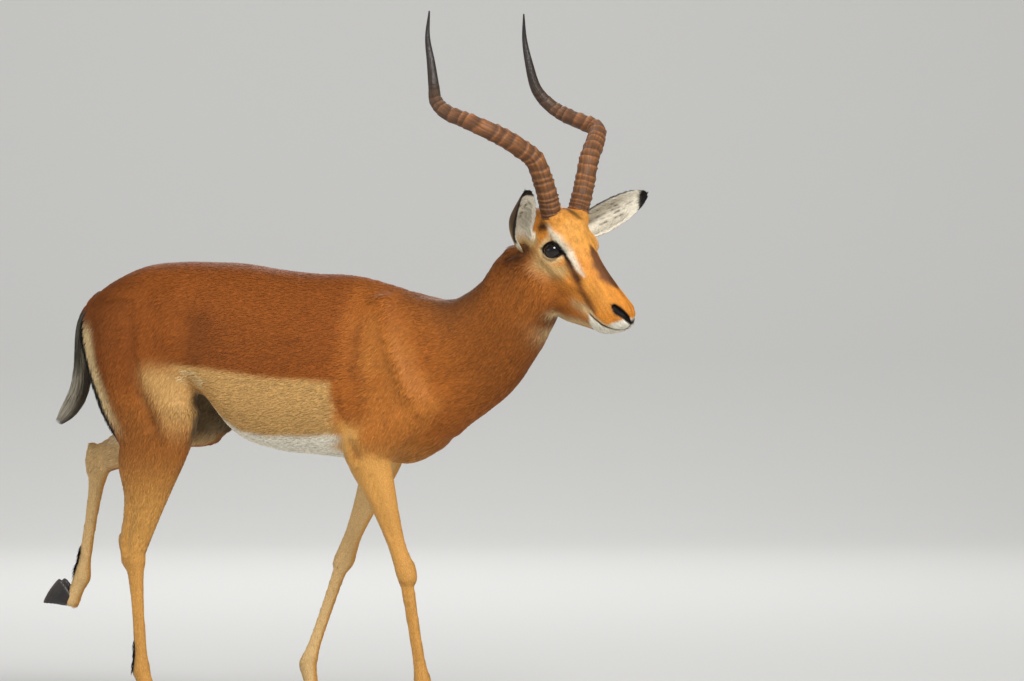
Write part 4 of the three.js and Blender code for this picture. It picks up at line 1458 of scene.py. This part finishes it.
def hair_mesh(name, points, faces, colours, uv, patch, normals=None):
    """Many copies of one small shape, (copies, points, 3), each with its own patch of the unwrap."""
    count, size = points.shape[:2]
    corners = (faces[None] + size * np.arange(count)[:, None, None]).ravel()
    colours = np.clip(colours, 0, 1).reshape(-1, 3)
    mesh = make_mesh(name, points.reshape(-1, 3), corners, np.full(count * len(faces), 3), colours)
    if normals is not None:
        mesh.normals_split_custom_set_from_vertices(normals.reshape(-1, 3).tolist())
    layer = mesh.uv_layers.new(name="OFBake")
    spots = uv[:, None] + patch[None] * PATCH
    layer.data.foreach_set("uv", spots.reshape(-1, 2)[corners].astype(np.float32).ravel())
    return mesh


def tuft_mesh(name, root, normal, lie, length, width, rise, colour, uv):
    """Leaf-shaped tufts of six triangles: a point under the skin, a ridge of three points at 0.36 of the
    length, and a tip that lies back on the coat. Dark at the root and light at the tip."""
    across = np.cross(normal, lie)
    length, width, rise = length[:, None], width[:, None], rise[:, None]
    start = root - normal * 0.5 - lie * length * 0.1
    middle = root + lie * length * 0.36 + normal * rise
    tip = root + lie * length * 0.9 + normal * rise * 0.75
    edge = across * width * 0.5
    points = np.stack([start, middle - edge, middle + edge, middle + normal * width * 0.22, tip], 1)
    colours = np.repeat(colour[:, None], 5, 1)
    colours[:, 0] *= 0.72
    colours[:, 4] *= 1.12
    soft = unit(normal[:, None] + 0.18 * lie[:, None] * np.array([-1, 0, 0, 0, 1.0])[None, :, None]
                + 0.22 * across[:, None] * np.array([0, -1, 1, 0, 0.0])[None, :, None])
    return hair_mesh(name, points, TUFT_FACES, colours, uv, TUFT_PATCH, soft)


def luminance(colours):
    return colours @ np.array([0.2126, 0.7152, 0.0722])


def horn_line(sign):
    """Middle of a horn from its root in the skull to its tip."""
    return [level_point(-back, sign * out, up) for back, out, up, _ in HORN_ROWS]


def coat_plan():
    """Length, width, rise and closeness of the tufts at each vertex of the skin, in millimetres.

    The hair is longest under belly and neck, and shortest on face, ears and forearms. No tuft grows
    between the lids, on the black of the nose and lips, at the foot of a horn or on a coronet.
    """
    points, normal = skin_points, skin_normals
    a, p, left = face_coordinates(points)
    upper = group_share(skin_owner, "trunk", "neck", "scapula", "arm", "thigh", "gaskin")
    length = 7.5 + 8.0 * upper
    length += 3.0 * group_share(skin_owner, "trunk") * step(normal[:, 2], -0.2, -0.8)
    length += 2.0 * group_share(skin_owner, "neck") * step(normal[:, 2], 0.2, -0.6)
    face = group_share(skin_owner, "head")
    g = nearer_lids(points)
    on_face_length = 6.0 - 2.0 * step(a, 120, 200) + 2.5 * step(p, -90, -140) + 2.5 * step(a, 30, -20)
    on_face_length = np.minimum(on_face_length, 2.4 + 4.5 * step(g, 1.3, 3.2))
    length = length * (1 - face) + on_face_length * face
    short = group_share(skin_owner, "ear_", "forearm")  # a forearm has the flat, short hair of an ear
    inner = np.zeros(len(points))
    for name in SIDES:
        in_ear = skin_owner == guide_names.index("ear_" + name)
        inner += in_ear * step(normal @ ear_frame(name)[2], 0.0, 0.4)
    length = length * (1 - short) + (5.0 + 3.5 * inner) * short
    tail = group_share(skin_owner, "tail")
    length = length * (1 - tail) + 16 * tail
    width = np.clip(0.17 * length, 0.75, 2.8)
    rise = (0.055 - 0.035 * short) * length
    cover = 1.63 - 0.33 * face
    bare = (g < 1.16) | ((np.abs(left) < 46) & (a > 200) & (luminance(skin_colours) < 0.02))
    for sign in SIDES.values():
        bare |= distance_to_line(points, horn_line(sign)[:4])[0] < 19
    for joint in LEGS.values():
        bare |= np.linalg.norm(points - joint["coronet"], axis=1) < 12
    return length, width, rise, cover / (0.5 * length * width) * ~bare


def coat_pieces():
    """Scatters the tufts over the skin and makes them into pieces, each a share of one region."""
    skin.data.calc_loop_triangles()
    triangles = read(skin.data.loop_triangles, "vertices", 3)
    length, width, rise, density = coat_plan()
    tri_owner = skin_owner[triangles[:, 0]]
    for region, (kinds, slot, tones) in REGIONS.items():
        inside = np.isin(tri_owner, [k for k, n in enumerate(guide_names) if n.split(".")[-1] in kinds])
        chosen, weight = scatter(triangles[inside], density)
        own = np.flatnonzero(inside)[chosen]
        order = rng.permutation(len(own))
        shares = math.ceil(len(own) / MOST_TUFTS)
        for i in range(shares):
            part = order[i::shares]
            corners, w = triangles[own[part]], weight[part]
            root = blend_corners(skin_points, corners, w)
            normal = unit(blend_corners(skin_normals, corners, w))
            lie = blend_corners(skin_lie, corners, w)
            swing = rng.normal(0, SWING, len(part))[:, None]
            lie = along_skin(lie + np.cross(normal, lie) * swing, normal)
            size = rng.uniform(0.75, 1.25, len(part))
            tone = rng.normal(1.0, tones, len(part))[:, None]
            mesh = tuft_mesh(
                f"coat_{region}_{i + 1}", root, normal, lie,
                blend_corners(length, corners, w) * size,
                blend_corners(width, corners, w) * np.sqrt(size),
                blend_corners(rise, corners, w) * rng.uniform(0.5, 1.3, len(part)),
                blend_corners(skin_colours, corners, w) * tone,
                unwrap(root, tri_owner[own[part]]),
            )
            add_piece(mesh.name, mesh, TUFT)


def add_locks(name, path, normal, width, colour, owner):
    """A piece of long hair: thin locks of three-sided section carried along a path and drawn in to both
    ends, with their patches of the unwrap at their roots, on the guide owner.

    path is (locks, rings, 3). At place s the section is width * (1.02 - s^2.2) * (0.6 + 0.8 s^0.5 (1 - s)).
    """
    n, rings = path.shape[:2]
    s = np.linspace(0, 1, rings)
    tangent = unit(np.gradient(path, axis=1))
    across = unit(np.cross(tangent, normal[:, None]))
    above = np.cross(across, tangent)
    size = (width[:, None] * (1.02 - s**2.2) * (0.6 + 0.8 * np.sqrt(s) * (1 - s)))[..., None]
    points = np.stack([path - across * size / 2, path + across * size / 2, path + above * size * 0.4], 2)
    k = np.arange(3)
    after = (k + 1) % 3
    ring = 3 * np.arange(rings - 1)[:, None]
    quads = np.stack([ring + k, ring + after, ring + 3 + after, ring + 3 + k], -1).reshape(-1, 4)
    end = 3 * rings
    caps = [[[2, 1, 0]], [[end - 3, end - 2, end - 1]]]
    faces = np.concatenate([quads[:, [0, 1, 2]], quads[:, [0, 2, 3]], *caps])
    shade = (0.8 + 0.3 * s)[None, :, None, None]
    colours = np.repeat(colour.reshape(n, -1, 1, 3) * shade, 3, 2)
    patch = np.stack(np.broadcast_arrays(np.array([-0.5, 0.5, 0.0])[None, :], s[:, None] - 0.5), -1)
    uv = unwrap(path[:, 0], owner)
    mesh = hair_mesh(name, points.reshape(n, -1, 3), faces, colours, uv, patch.reshape(-1, 2))
    add_piece(name, mesh, TUFT)


def tail_brush(count=1500, rings=8):
    """Locks that leave the dock and run down inside the tail's own outline, past its end.

    Each keeps its angle round the tail; its place across the tail goes from the dock out to the outline.
    """
    # place of the root along the tail, the length that the lock runs along it, and the angle round it
    root_t = np.sort(rng.random(count) ** 0.8) * 0.72 + 0.03
    reach = np.clip(rng.normal(0.26, 0.05, count) + 0.14 * step(root_t, 0.4, 0.75), 0.08, 0.99 - root_t)
    angle = rng.random(count) * 2 * np.pi
    s = np.linspace(0, 1, rings)
    t = root_t[:, None] + reach[:, None] * s
    value, slope = spline(TAIL_ROWS, t.ravel())
    tangent = unit(slope[:, :3])
    up = unit(-FORWARD - tangent * (tangent @ -FORWARD)[:, None])
    left = np.cross(up, tangent)
    # how far out a lock ends, as a share of the tail's own section, and how far out it is at each ring
    top = rng.uniform(0.72, 0.97, count)[:, None]
    out = (0.3 + (top - 0.3) * np.sin(np.pi / 2 * np.clip(s * 1.6, 0, 1))).ravel()[:, None]
    turn = np.repeat(angle, rings) + 0.25 * np.tile(s, count) * np.repeat(rng.normal(0, 1, count), rings)
    cos, sin = np.cos(turn)[:, None], np.sin(turn)[:, None]
    reach_up = np.where(sin > 0, value[:, 3:4], value[:, 4:5])
    around = left * cos * value[:, 5:6] + up * sin * reach_up
    path = (value[:, :3] + around * out).reshape(count, rings, 3)
    normal = unit(around.reshape(count, rings, 3)[:, rings // 2])
    tone = rng.normal(1.0, 0.1, (count, 1, 1))
    # the tail's colours, with their painted shade
    colour = tail_markings(path.reshape(-1, 3), np.repeat(normal, rings, 0)).reshape(count, rings, 3) * tone
    width = rng.uniform(2.2, 3.6, count)
    add_locks("tail_brush", path, normal, width, colour, guide_names.index("tail"))


def skin_locks(name, line, reach, count, direction, length, width, rise, colour=None, rings=6):
    """Locks rooted on the skin near a line, all along the skin one way and lifting off it."""
    near, _ = distance_to_line(skin_points, line)
    chosen = rng.choice(np.flatnonzero((near < reach[1]) & (near > reach[0])), count)
    normal = skin_normals[chosen]
    way = along_skin(unit(direction) + rng.normal(0, SWING, (count, 3)), normal)
    root = skin_points[chosen] + np.cross(normal, way) * rng.normal(0, 1.2, count)[:, None] - normal * 0.8
    size = (length * rng.uniform(0.7, 1.15, count))[:, None, None]  # some shorter, some longer
    s = np.linspace(0, 1, rings)[None, :, None]
    path = root[:, None] + way[:, None] * size * s + normal[:, None] * size * rise * s * (1.4 - 0.6 * s)
    colour = skin_colours[chosen] if colour is None else np.tile(COLOURS[colour], (count, 1))
    shades = np.repeat((colour * rng.normal(1.0, 0.1, (count, 1)))[:, None], rings, 1)
    width = width * rng.uniform(0.8, 1.2, count)
    add_locks(name, path, normal, width, shades, skin_owner[chosen])


def ear_hairs(name, count=190, rings=7):
    """Long white hairs from both rims of an ear, bowed over its hollow toward the tip."""
    base, stem, hollow, across = ear_frame(name)
    run = np.linspace(0, 1, rings)
    s = rng.uniform(0.05, 0.66, count)[:, None] + run * rng.uniform(0.08, 0.17, count)[:, None]
    side = rng.choice([-1, 1], count)[:, None]
    u = side * (0.86 - run * rng.uniform(0.2, 0.62, count)[:, None])
    half, _, front = ear_section(s, u)
    height = front - 1.0 + rng.uniform(1.0, 4.0, count)[:, None] * np.sin(np.pi * run * 0.85)
    path = base + (s * EAR_LENGTH)[..., None] * stem + (half * u)[..., None] * across
    path = path + (height - 12 * s * s)[..., None] * hollow
    colour = np.tile(COLOURS["white"], (count, rings, 1)) * rng.uniform(0.75, 1.0, (count, 1, 1))
    normal = np.tile(hollow, (count, 1))
    width = rng.uniform(0.9, 1.5, count)
    owner = guide_names.index("ear_" + name)
    add_locks("ear_hairs_" + name, path, normal, width, colour, owner)


def eyelashes(name, sign, count=44, rings=5):
    """Short black hairs from the edge of the upper lid, out and then a little down."""
    centre, forward, upward, out = eye_frame(sign)
    x = rng.uniform(-15, 17, count)
    y = EYE_OPENING[1] * 1.1 * (1 - (x / eye_length(x)) ** 2) - tear_drop(x)
    z = np.sqrt(EYE_RADIUS**2 - x**2 - y**2) + 1.0
    root = centre + x[:, None] * forward + y[:, None] * upward + z[:, None] * out
    size = rng.uniform(4.5, 7.5, count)[:, None, None]
    run = np.linspace(0, 1, rings)[None, :, None]
    way = unit(out + 0.5 * upward + forward * (x / 40)[:, None])
    path = root[:, None] + way[:, None] * size * run - upward * size * 0.75 * run**2
    colour = np.tile(COLOURS["black"], (count, rings, 1))
    width = np.full(count, 0.8)
    add_locks("eyelashes_" + name, path, way, width, colour, guide_names.index("head"))


# x and height down the middle of a rump stripe
STRIPE = ((-362, 796), (-352, 720), (-338, 672), (-318, 632), (-302, 594))


def long_hair():
    """Tail brush, heel tufts over the hind fetlocks, flank fold, foot of the horns, ears and lashes."""
    tail_brush()
    for name, sign in SIDES.items():
        ear_hairs(name)
        eyelashes(name, sign)
        leg = "hindleg_" + name
        cannon = LEGS[leg]["fetlock"] - LEGS[leg]["hock"]
        down = cannon / 200 + unit(backward(cannon)) * 0.4
        skin_locks("heel_tuft_" + name, heel_line(leg, 0.92), reach=(0, 11), count=260, direction=down,
                   length=19, width=1.7, rise=0.3, colour="black")
        fold = [(-106, sign * 98, 690), (-82, sign * 98, 686)]
        skin_locks("flank_tuft_" + name, fold, reach=(0, 19), count=200, direction=(-1, 0, -0.1),
                   length=18, width=2.0, rise=0.2, colour="cream")
        stripe = [(x, sign * 70, z) for x, z in STRIPE]
        skin_locks("rump_stripe_" + name, stripe, reach=(0, 11), count=700, direction=(-0.45, 0, -1),
                   length=17, width=1.9, rise=0.3, colour="black")
        foot = horn_line(sign)[:3]
        skin_locks("horn_foot_" + name, foot, reach=(17, 24), count=330, direction=foot[2] - foot[1],
                   length=8.5, width=1.2, rise=0.02)


coat_pieces()
long_hair()

# ---------------------------------------------------------------- eyes, horns and claws


def horn_surface(name, rings=440, around=56):
    """Round sections along the horn line, with rings of growth that rise slowly and end in a step.

    phase counts the rings, RING_SPACING apart, a little unevenly and aslant; with its fraction f the
    crest is (f / 0.8)^2 and falls off over the last fifth. Strongest in front, gone before the tip.
    """
    sign = SIDES[name]
    t = np.linspace(0, 1, rings)
    centre, slope = spline(horn_line(sign), t)
    radius = spline([[r[3]] for r in HORN_ROWS], t)[0]
    tangent = unit(slope)
    up = unit(lift - tangent * (tangent @ lift)[:, None])
    left = np.cross(up, tangent)
    reach = np.concatenate([[0], np.cumsum(np.linalg.norm(np.diff(centre, axis=0), axis=1))])
    place = (reach / reach[-1])[:, None]
    spacing = np.interp(place[1:, 0], *RING_SPACING)
    count = np.concatenate([[0], np.cumsum(np.diff(reach) / spacing)])[:, None]
    angle = np.linspace(0, 2 * np.pi, around, endpoint=False)[None, :]
    uneven = 0.17 * np.sin(1.9 * count + sign) + 0.07 * np.sin(4.3 * count)
    slant = (0.2 * np.sin(angle + 0.6) + 0.06 * np.sin(2 * angle + count)
             + 0.03 * np.sin(5 * angle + 2 * count))
    f = (count + uneven + slant) % 1.0
    crest = np.where(f < 0.8, (f / 0.8) ** 2, ((1 - f) / 0.2) ** 0.8)
    fade = step(place, 0.79, 0.6) * (0.62 + 0.38 * np.sin(1.3 * count + 1) ** 2)
    front = 0.4 + 0.6 * (0.5 + 0.5 * np.sin(angle + 0.3))
    t = t[:, None]
    flutes = 0.01 * np.sin(9 * angle + 14 * t) + 0.008 * np.sin(19 * angle + 3 * np.sin(9 * t))
    size = radius * (0.945 + 0.175 * crest * fade * front + flutes * step(place, 0.85, 0.6))
    points = centre[:, None] + size[..., None] * (
        np.cos(angle)[..., None] * left[:, None] + np.sin(angle)[..., None] * up[:, None]
    )
    tip = centre[-1] + tangent[-1] * 1.2
    points = np.concatenate([points.reshape(-1, 3), [tip]])
    faces = tube_faces(rings, around, closed=False)
    faces.append(tuple(range(around - 1, -1, -1)))
    last_ring = (rings - 1) * around
    faces += [(last_ring + j, last_ring + (j + 1) % around, len(points) - 1) for j in range(around)]
    # pale on the ring crests, dark in the gaps after them and lighter in front, fading before the tip: partly
    # wear, partly painted highlight and shade
    wear_highlight_and_shade = step(place, 0.8, 0.62) * (0.25 + 0.75 * crest * (0.45 + 0.55 * front))
    values = {"grow": place + 0 * angle, "ridge": wear_highlight_and_shade, "turn_x": np.cos(angle) + 0 * place,
              "turn_y": np.sin(angle) + 0 * place}
    return points, faces, {key: np.append(value.ravel(), value[-1, 0]) for key, value in values.items()}


def horn_material():
    """Horn: red-brown and grained lengthwise, pale on the ring crests and dark in the gaps after them,
    lighter in front: partly wear, partly painted highlight and shade.
    The end is smooth and nearly black."""
    material, tree, shader = new_material("ringed_horn")
    grow, ridge, turn_x, turn_y = (reading(tree, n)["Fac"] for n in ("grow", "ridge", "turn_x", "turn_y"))
    colour = colour_ramp(tree, grow, [
        (0.0, (98, 58, 28)), (0.14, (126, 80, 40)), (0.5, (122, 76, 40)), (0.74, (88, 64, 44)),
        (1.0, (64, 58, 50)),
    ])
    # pale ring crests and dark gaps: wear with painted highlight and shade
    colour = scaled(tree, colour, map_range(tree, ridge, (0.0, 1.0), (0.26, 1.45)))
    stretched = add_node(tree, "Math", {0: grow, 1: 2.2}, "MULTIPLY").outputs[0]
    place = add_node(tree, "CombineXYZ", {"X": turn_x, "Y": turn_y, "Z": stretched}).outputs["Vector"]
    grain = add_node(tree, "TexNoise", {"Vector": place, "Scale": 6.0, "Detail": 5.0}).outputs["Fac"]
    colour = scaled(tree, colour, map_range(tree, grain, (0.3, 0.7), (0.6, 1.35)))
    colour, height = uneven_tone(tree, colour, 260.0, 40.0, 0.6)
    rough = relief(tree, height, 0.55, 0.0012)
    feed(tree, shader, {
        "Base Color": colour, "Normal": relief(tree, grain, 0.6, 0.0015, under=rough),
        "Roughness": map_range(tree, grow, (0.6, 0.85), (0.6, 0.34)),
    })
    return material


HORN = horn_material()
for name in SIDES:
    add_formed(f"horn_{name}_ringed", horn_surface(name), HORN, "horn_" + name)


def eye_material():
    """Dark brown iris round a long level pupil under a wet clear coat; near black to the rim."""
    material, tree, shader = new_material("wet_eye")
    colour = colour_ramp(tree, reading(tree, "iris")["Fac"], [
        (0.0, (5, 5, 7)), (0.32, (7, 6, 7)), (0.42, (26, 15, 9)), (0.72, (20, 12, 8)), (0.82, (8, 6, 5)),
        (1.0, (22, 17, 14)),
    ])
    feed(tree, shader, {
        "Base Color": colour, "Roughness": 0.12, "Specular IOR Level": 0.2, "Coat Weight": 0.45,
        "Coat Roughness": 0.02,
    })
    return material


EYE = eye_material()


def eye_surface(sign, rings=64, around=72):
    """Ball with a bulging clear front: radius R (1 + 0.045 (1 - (b / 0.75)^2)^2) within 0.75 of the axis."""
    centre, forward, upward, out = eye_frame(sign)
    b = np.linspace(0.012, np.pi - 0.012, rings)[:, None]
    a = np.linspace(0, 2 * np.pi, around, endpoint=False)[None, :]
    bulge = 1 + 0.045 * np.clip(1 - (b / 0.75) ** 2, 0, 1) ** 2
    x, y, z = np.sin(b) * np.cos(a), np.sin(b) * np.sin(a), np.cos(b) + 0 * a
    radius = EYE_RADIUS * bulge
    axes = np.stack([forward, upward, out])
    points = centre + (np.stack([x, y, z], -1) * radius[..., None]) @ axes
    pupil = np.sqrt((x / 1.5) ** 2 + (y / 0.75) ** 2)
    iris = np.sqrt(x * x + y * y)
    rim = np.interp(iris, [0.42, 0.7, 0.86, 1.0], [0.45, 0.72, 0.84, 1.0])
    tone = np.where(iris > 0.42, rim, np.minimum(pupil, 0.42))
    faces = tube_faces(rings, around)
    if np.linalg.det(axes) < 0:
        faces = [f[::-1] for f in faces]
    return points.reshape(-1, 3), faces, {"iris": np.where(z > 0, tone, 1.0).ravel()}


for name, sign in SIDES.items():
    add_formed("eyeball_" + name, eye_surface(sign), EYE, "eye_" + name)


# share of the height, and what is added there to the toe, to the heel and to half the width
CLAW_ROWS = [
    [0.0, -1.2, 0, -0.6], [0.03, 0, -0.8, 0], [0.12, -3, -1.6, 0], [0.5, -16, 1, 0], [0.85, -26, 6, -1.5],
    [1.0, -31, 11, -4],
]


def claw_surface(outward, rings=26, around=40):
    """Closed sections from the flat sole to the coronet: straight toe line, pinched point, round heel."""
    h = np.linspace(0, 1, rings)
    level, toe, heel, half = np.array(CLAW_ROWS).T
    toe = np.interp(h, level, CLAW["toe"] + toe)[:, None]
    heel = np.interp(h, level, CLAW["heel"] + heel)[:, None]
    half = np.interp(h, level, CLAW["width"] / 2 + half)[:, None]
    angle = np.linspace(0, 2 * np.pi, around, endpoint=False)[None, :]
    forward, across = np.cos(angle), np.sin(angle)
    reach = np.where(forward > 0, toe, -heel)
    pinch = np.where(forward > 0, 1 - 0.45 * forward**2, 1.0)
    rings_of_growth = 1 + 0.012 * np.sin(2 * np.pi * h * 7)[:, None] * step(h, 0.1, 0.2)[:, None]
    x = forward * reach * rings_of_growth
    y = outward * CLAW["splay"] + across * half * pinch * rings_of_growth
    y = y - np.where(forward > 0, outward * 3 * forward**2, 0)
    points = np.stack([x, y, np.repeat(h[:, None] * CLAW["height"], around, 1)], -1)
    return points.reshape(-1, 3), tube_faces(rings, around), {"height": np.repeat(h, around)}


def foot_axes(joint):
    """Toe direction, left, upward and origin on the sole plane of a foot."""
    forward = unit(joint["toe"])
    left = np.cross(UP, FORWARD)
    upward = np.cross(forward, left)
    origin = joint["coronet"] - upward * (CLAW["height"] + 1)
    if joint["toe"][2] == 0:
        origin[2] = 0
    return np.stack([forward, left, upward]), origin


def hoof_material():
    """Black horn of the claw with pale wear near the sole."""
    material, tree, shader = new_material("claw_horn")
    colour = colour_ramp(tree, reading(tree, "height")["Fac"], [
        (0.0, (78, 68, 60)), (0.12, (48, 42, 39)), (0.6, (32, 28, 27)), (1.0, (42, 34, 30)),
    ])
    colour, height = uneven_tone(tree, colour, 320.0, 60.0, 0.6)
    normal = relief(tree, height, 0.4, 0.0008)
    feed(tree, shader, {"Base Color": colour, "Normal": normal, "Roughness": 0.42})
    return material


HOOF = hoof_material()
for leg, joint in LEGS.items():
    axes, origin = foot_axes(joint)
    for outward in (-1, 1):
        points, *rest = claw_surface(outward)
        node = leg.replace("leg", "hoof") + ("_inner" if outward == -side_of(leg) else "_outer")
        add_formed(node + "_claw", (origin + points @ axes, *rest), HOOF, node)

# ---------------------------------------------------------------- stage, light and camera


CAMERA_AZIMUTH = math.radians(28)
CAMERA_ELEVATION = math.radians(1.8)
CAMERA_DISTANCE = 12.0
LENS = 213.0
TARGET = np.array([-0.160, 0.010, 0.72])
FRAMING = (0.499, 0.0453)  # how far right of and above the target the view is centred, in metres
RIGHT = np.array([math.cos(CAMERA_AZIMUTH), math.sin(CAMERA_AZIMUTH), 0])


def stage_material(name, colour):
    """Matt paper that is clear from behind, so the backdrop never stands before the animal."""
    material, tree, shader = new_material(name)
    feed(tree, shader, {"Base Color": (*colour, 1), "Roughness": 0.9})
    side = tree.nodes.new("ShaderNodeNewGeometry").outputs["Backfacing"]
    clear = tree.nodes.new("ShaderNodeBsdfTransparent").outputs["BSDF"]
    either = add_node(tree, "MixShader", {"Fac": side, 1: shader.outputs["BSDF"], 2: clear})
    feed(tree, tree.nodes["Material Output"], {"Surface": either.outputs["Shader"]})
    return material


def studio():
    """Pale floor that curves up into a backdrop, in metres."""
    bend = np.linspace(0.1, np.pi / 2, 12)
    depth = np.concatenate([np.linspace(-60, 6, 12), 6 + 3 * np.sin(bend), [9, 9]])
    rise = np.concatenate([np.zeros(12), 3 - 3 * np.cos(bend), [8, 16]])
    width = np.linspace(-60, 60, 2)
    far = unit([-math.sin(CAMERA_AZIMUTH), math.cos(CAMERA_AZIMUTH), 0])
    points = depth[:, None, None] * far + width[None, :, None] * RIGHT + rise[:, None, None] * UP
    n = len(depth)
    faces = [(2 * i, 2 * i + 1, 2 * i + 3, 2 * i + 2) for i in range(n - 1)]
    mesh = bpy.data.meshes.new("studio_floor")
    mesh.from_pydata(points.reshape(-1, 3).tolist(), [], faces)
    mesh.shade_smooth()
    floor = placed("studio_floor", mesh)
    mesh.materials.append(stage_material("studio_paper", (0.62, 0.62, 0.61)))


def area_light(name, place, target, size, power):
    light = bpy.data.lights.new(name, "AREA")
    light.shape, light.size, light.energy = "SQUARE", size, power
    ob = placed(name, light)
    ob.location = place
    ob.rotation_euler = (Vector(target) - Vector(place)).to_track_quat("-Z", "Y").to_euler()


studio()
area_light("key_light", (3.4, -3.4, 4.6), (0, 0, 0.8), 2.0, 300)
area_light("fill_light", (-3.8, -3.8, 2.4), (0, 0, 0.7), 3.5, 42)
area_light("back_light", (-2.5, 4.6, 4.2), (0, 0, 0.8), 3.0, 130)
area_light("backdrop_light", (-1.5, 3.5, 5.0), (-3.6, 7.0, 2.5), 4.0, 90)

world = bpy.data.worlds.new("studio_air")
bpy.context.scene.world = world
world.use_nodes = True
feed(world.node_tree, world.node_tree.nodes["Background"], {"Color": (1.0, 0.99, 0.97, 1), "Strength": 0.5})

camera_data = bpy.data.cameras.new("camera")
camera_data.lens = LENS
camera_data.sensor_width = 36
camera = placed("camera", camera_data)
bpy.context.scene.camera = camera
az, el = CAMERA_AZIMUTH, CAMERA_ELEVATION
view = np.array([math.sin(az) * math.cos(el), -math.cos(az) * math.cos(el), math.sin(el)])
above = np.cross(view, RIGHT)
camera.location = TARGET + view * CAMERA_DISTANCE
aim = TARGET + RIGHT * FRAMING[0] + above * FRAMING[1]
camera.rotation_mode = "QUATERNION"
camera.rotation_quaternion = (Vector(aim) - camera.location).to_track_quat("-Z", "Y")
camera_data.clip_end = 100
bpy.context.scene.view_settings.view_transform = "Standard"
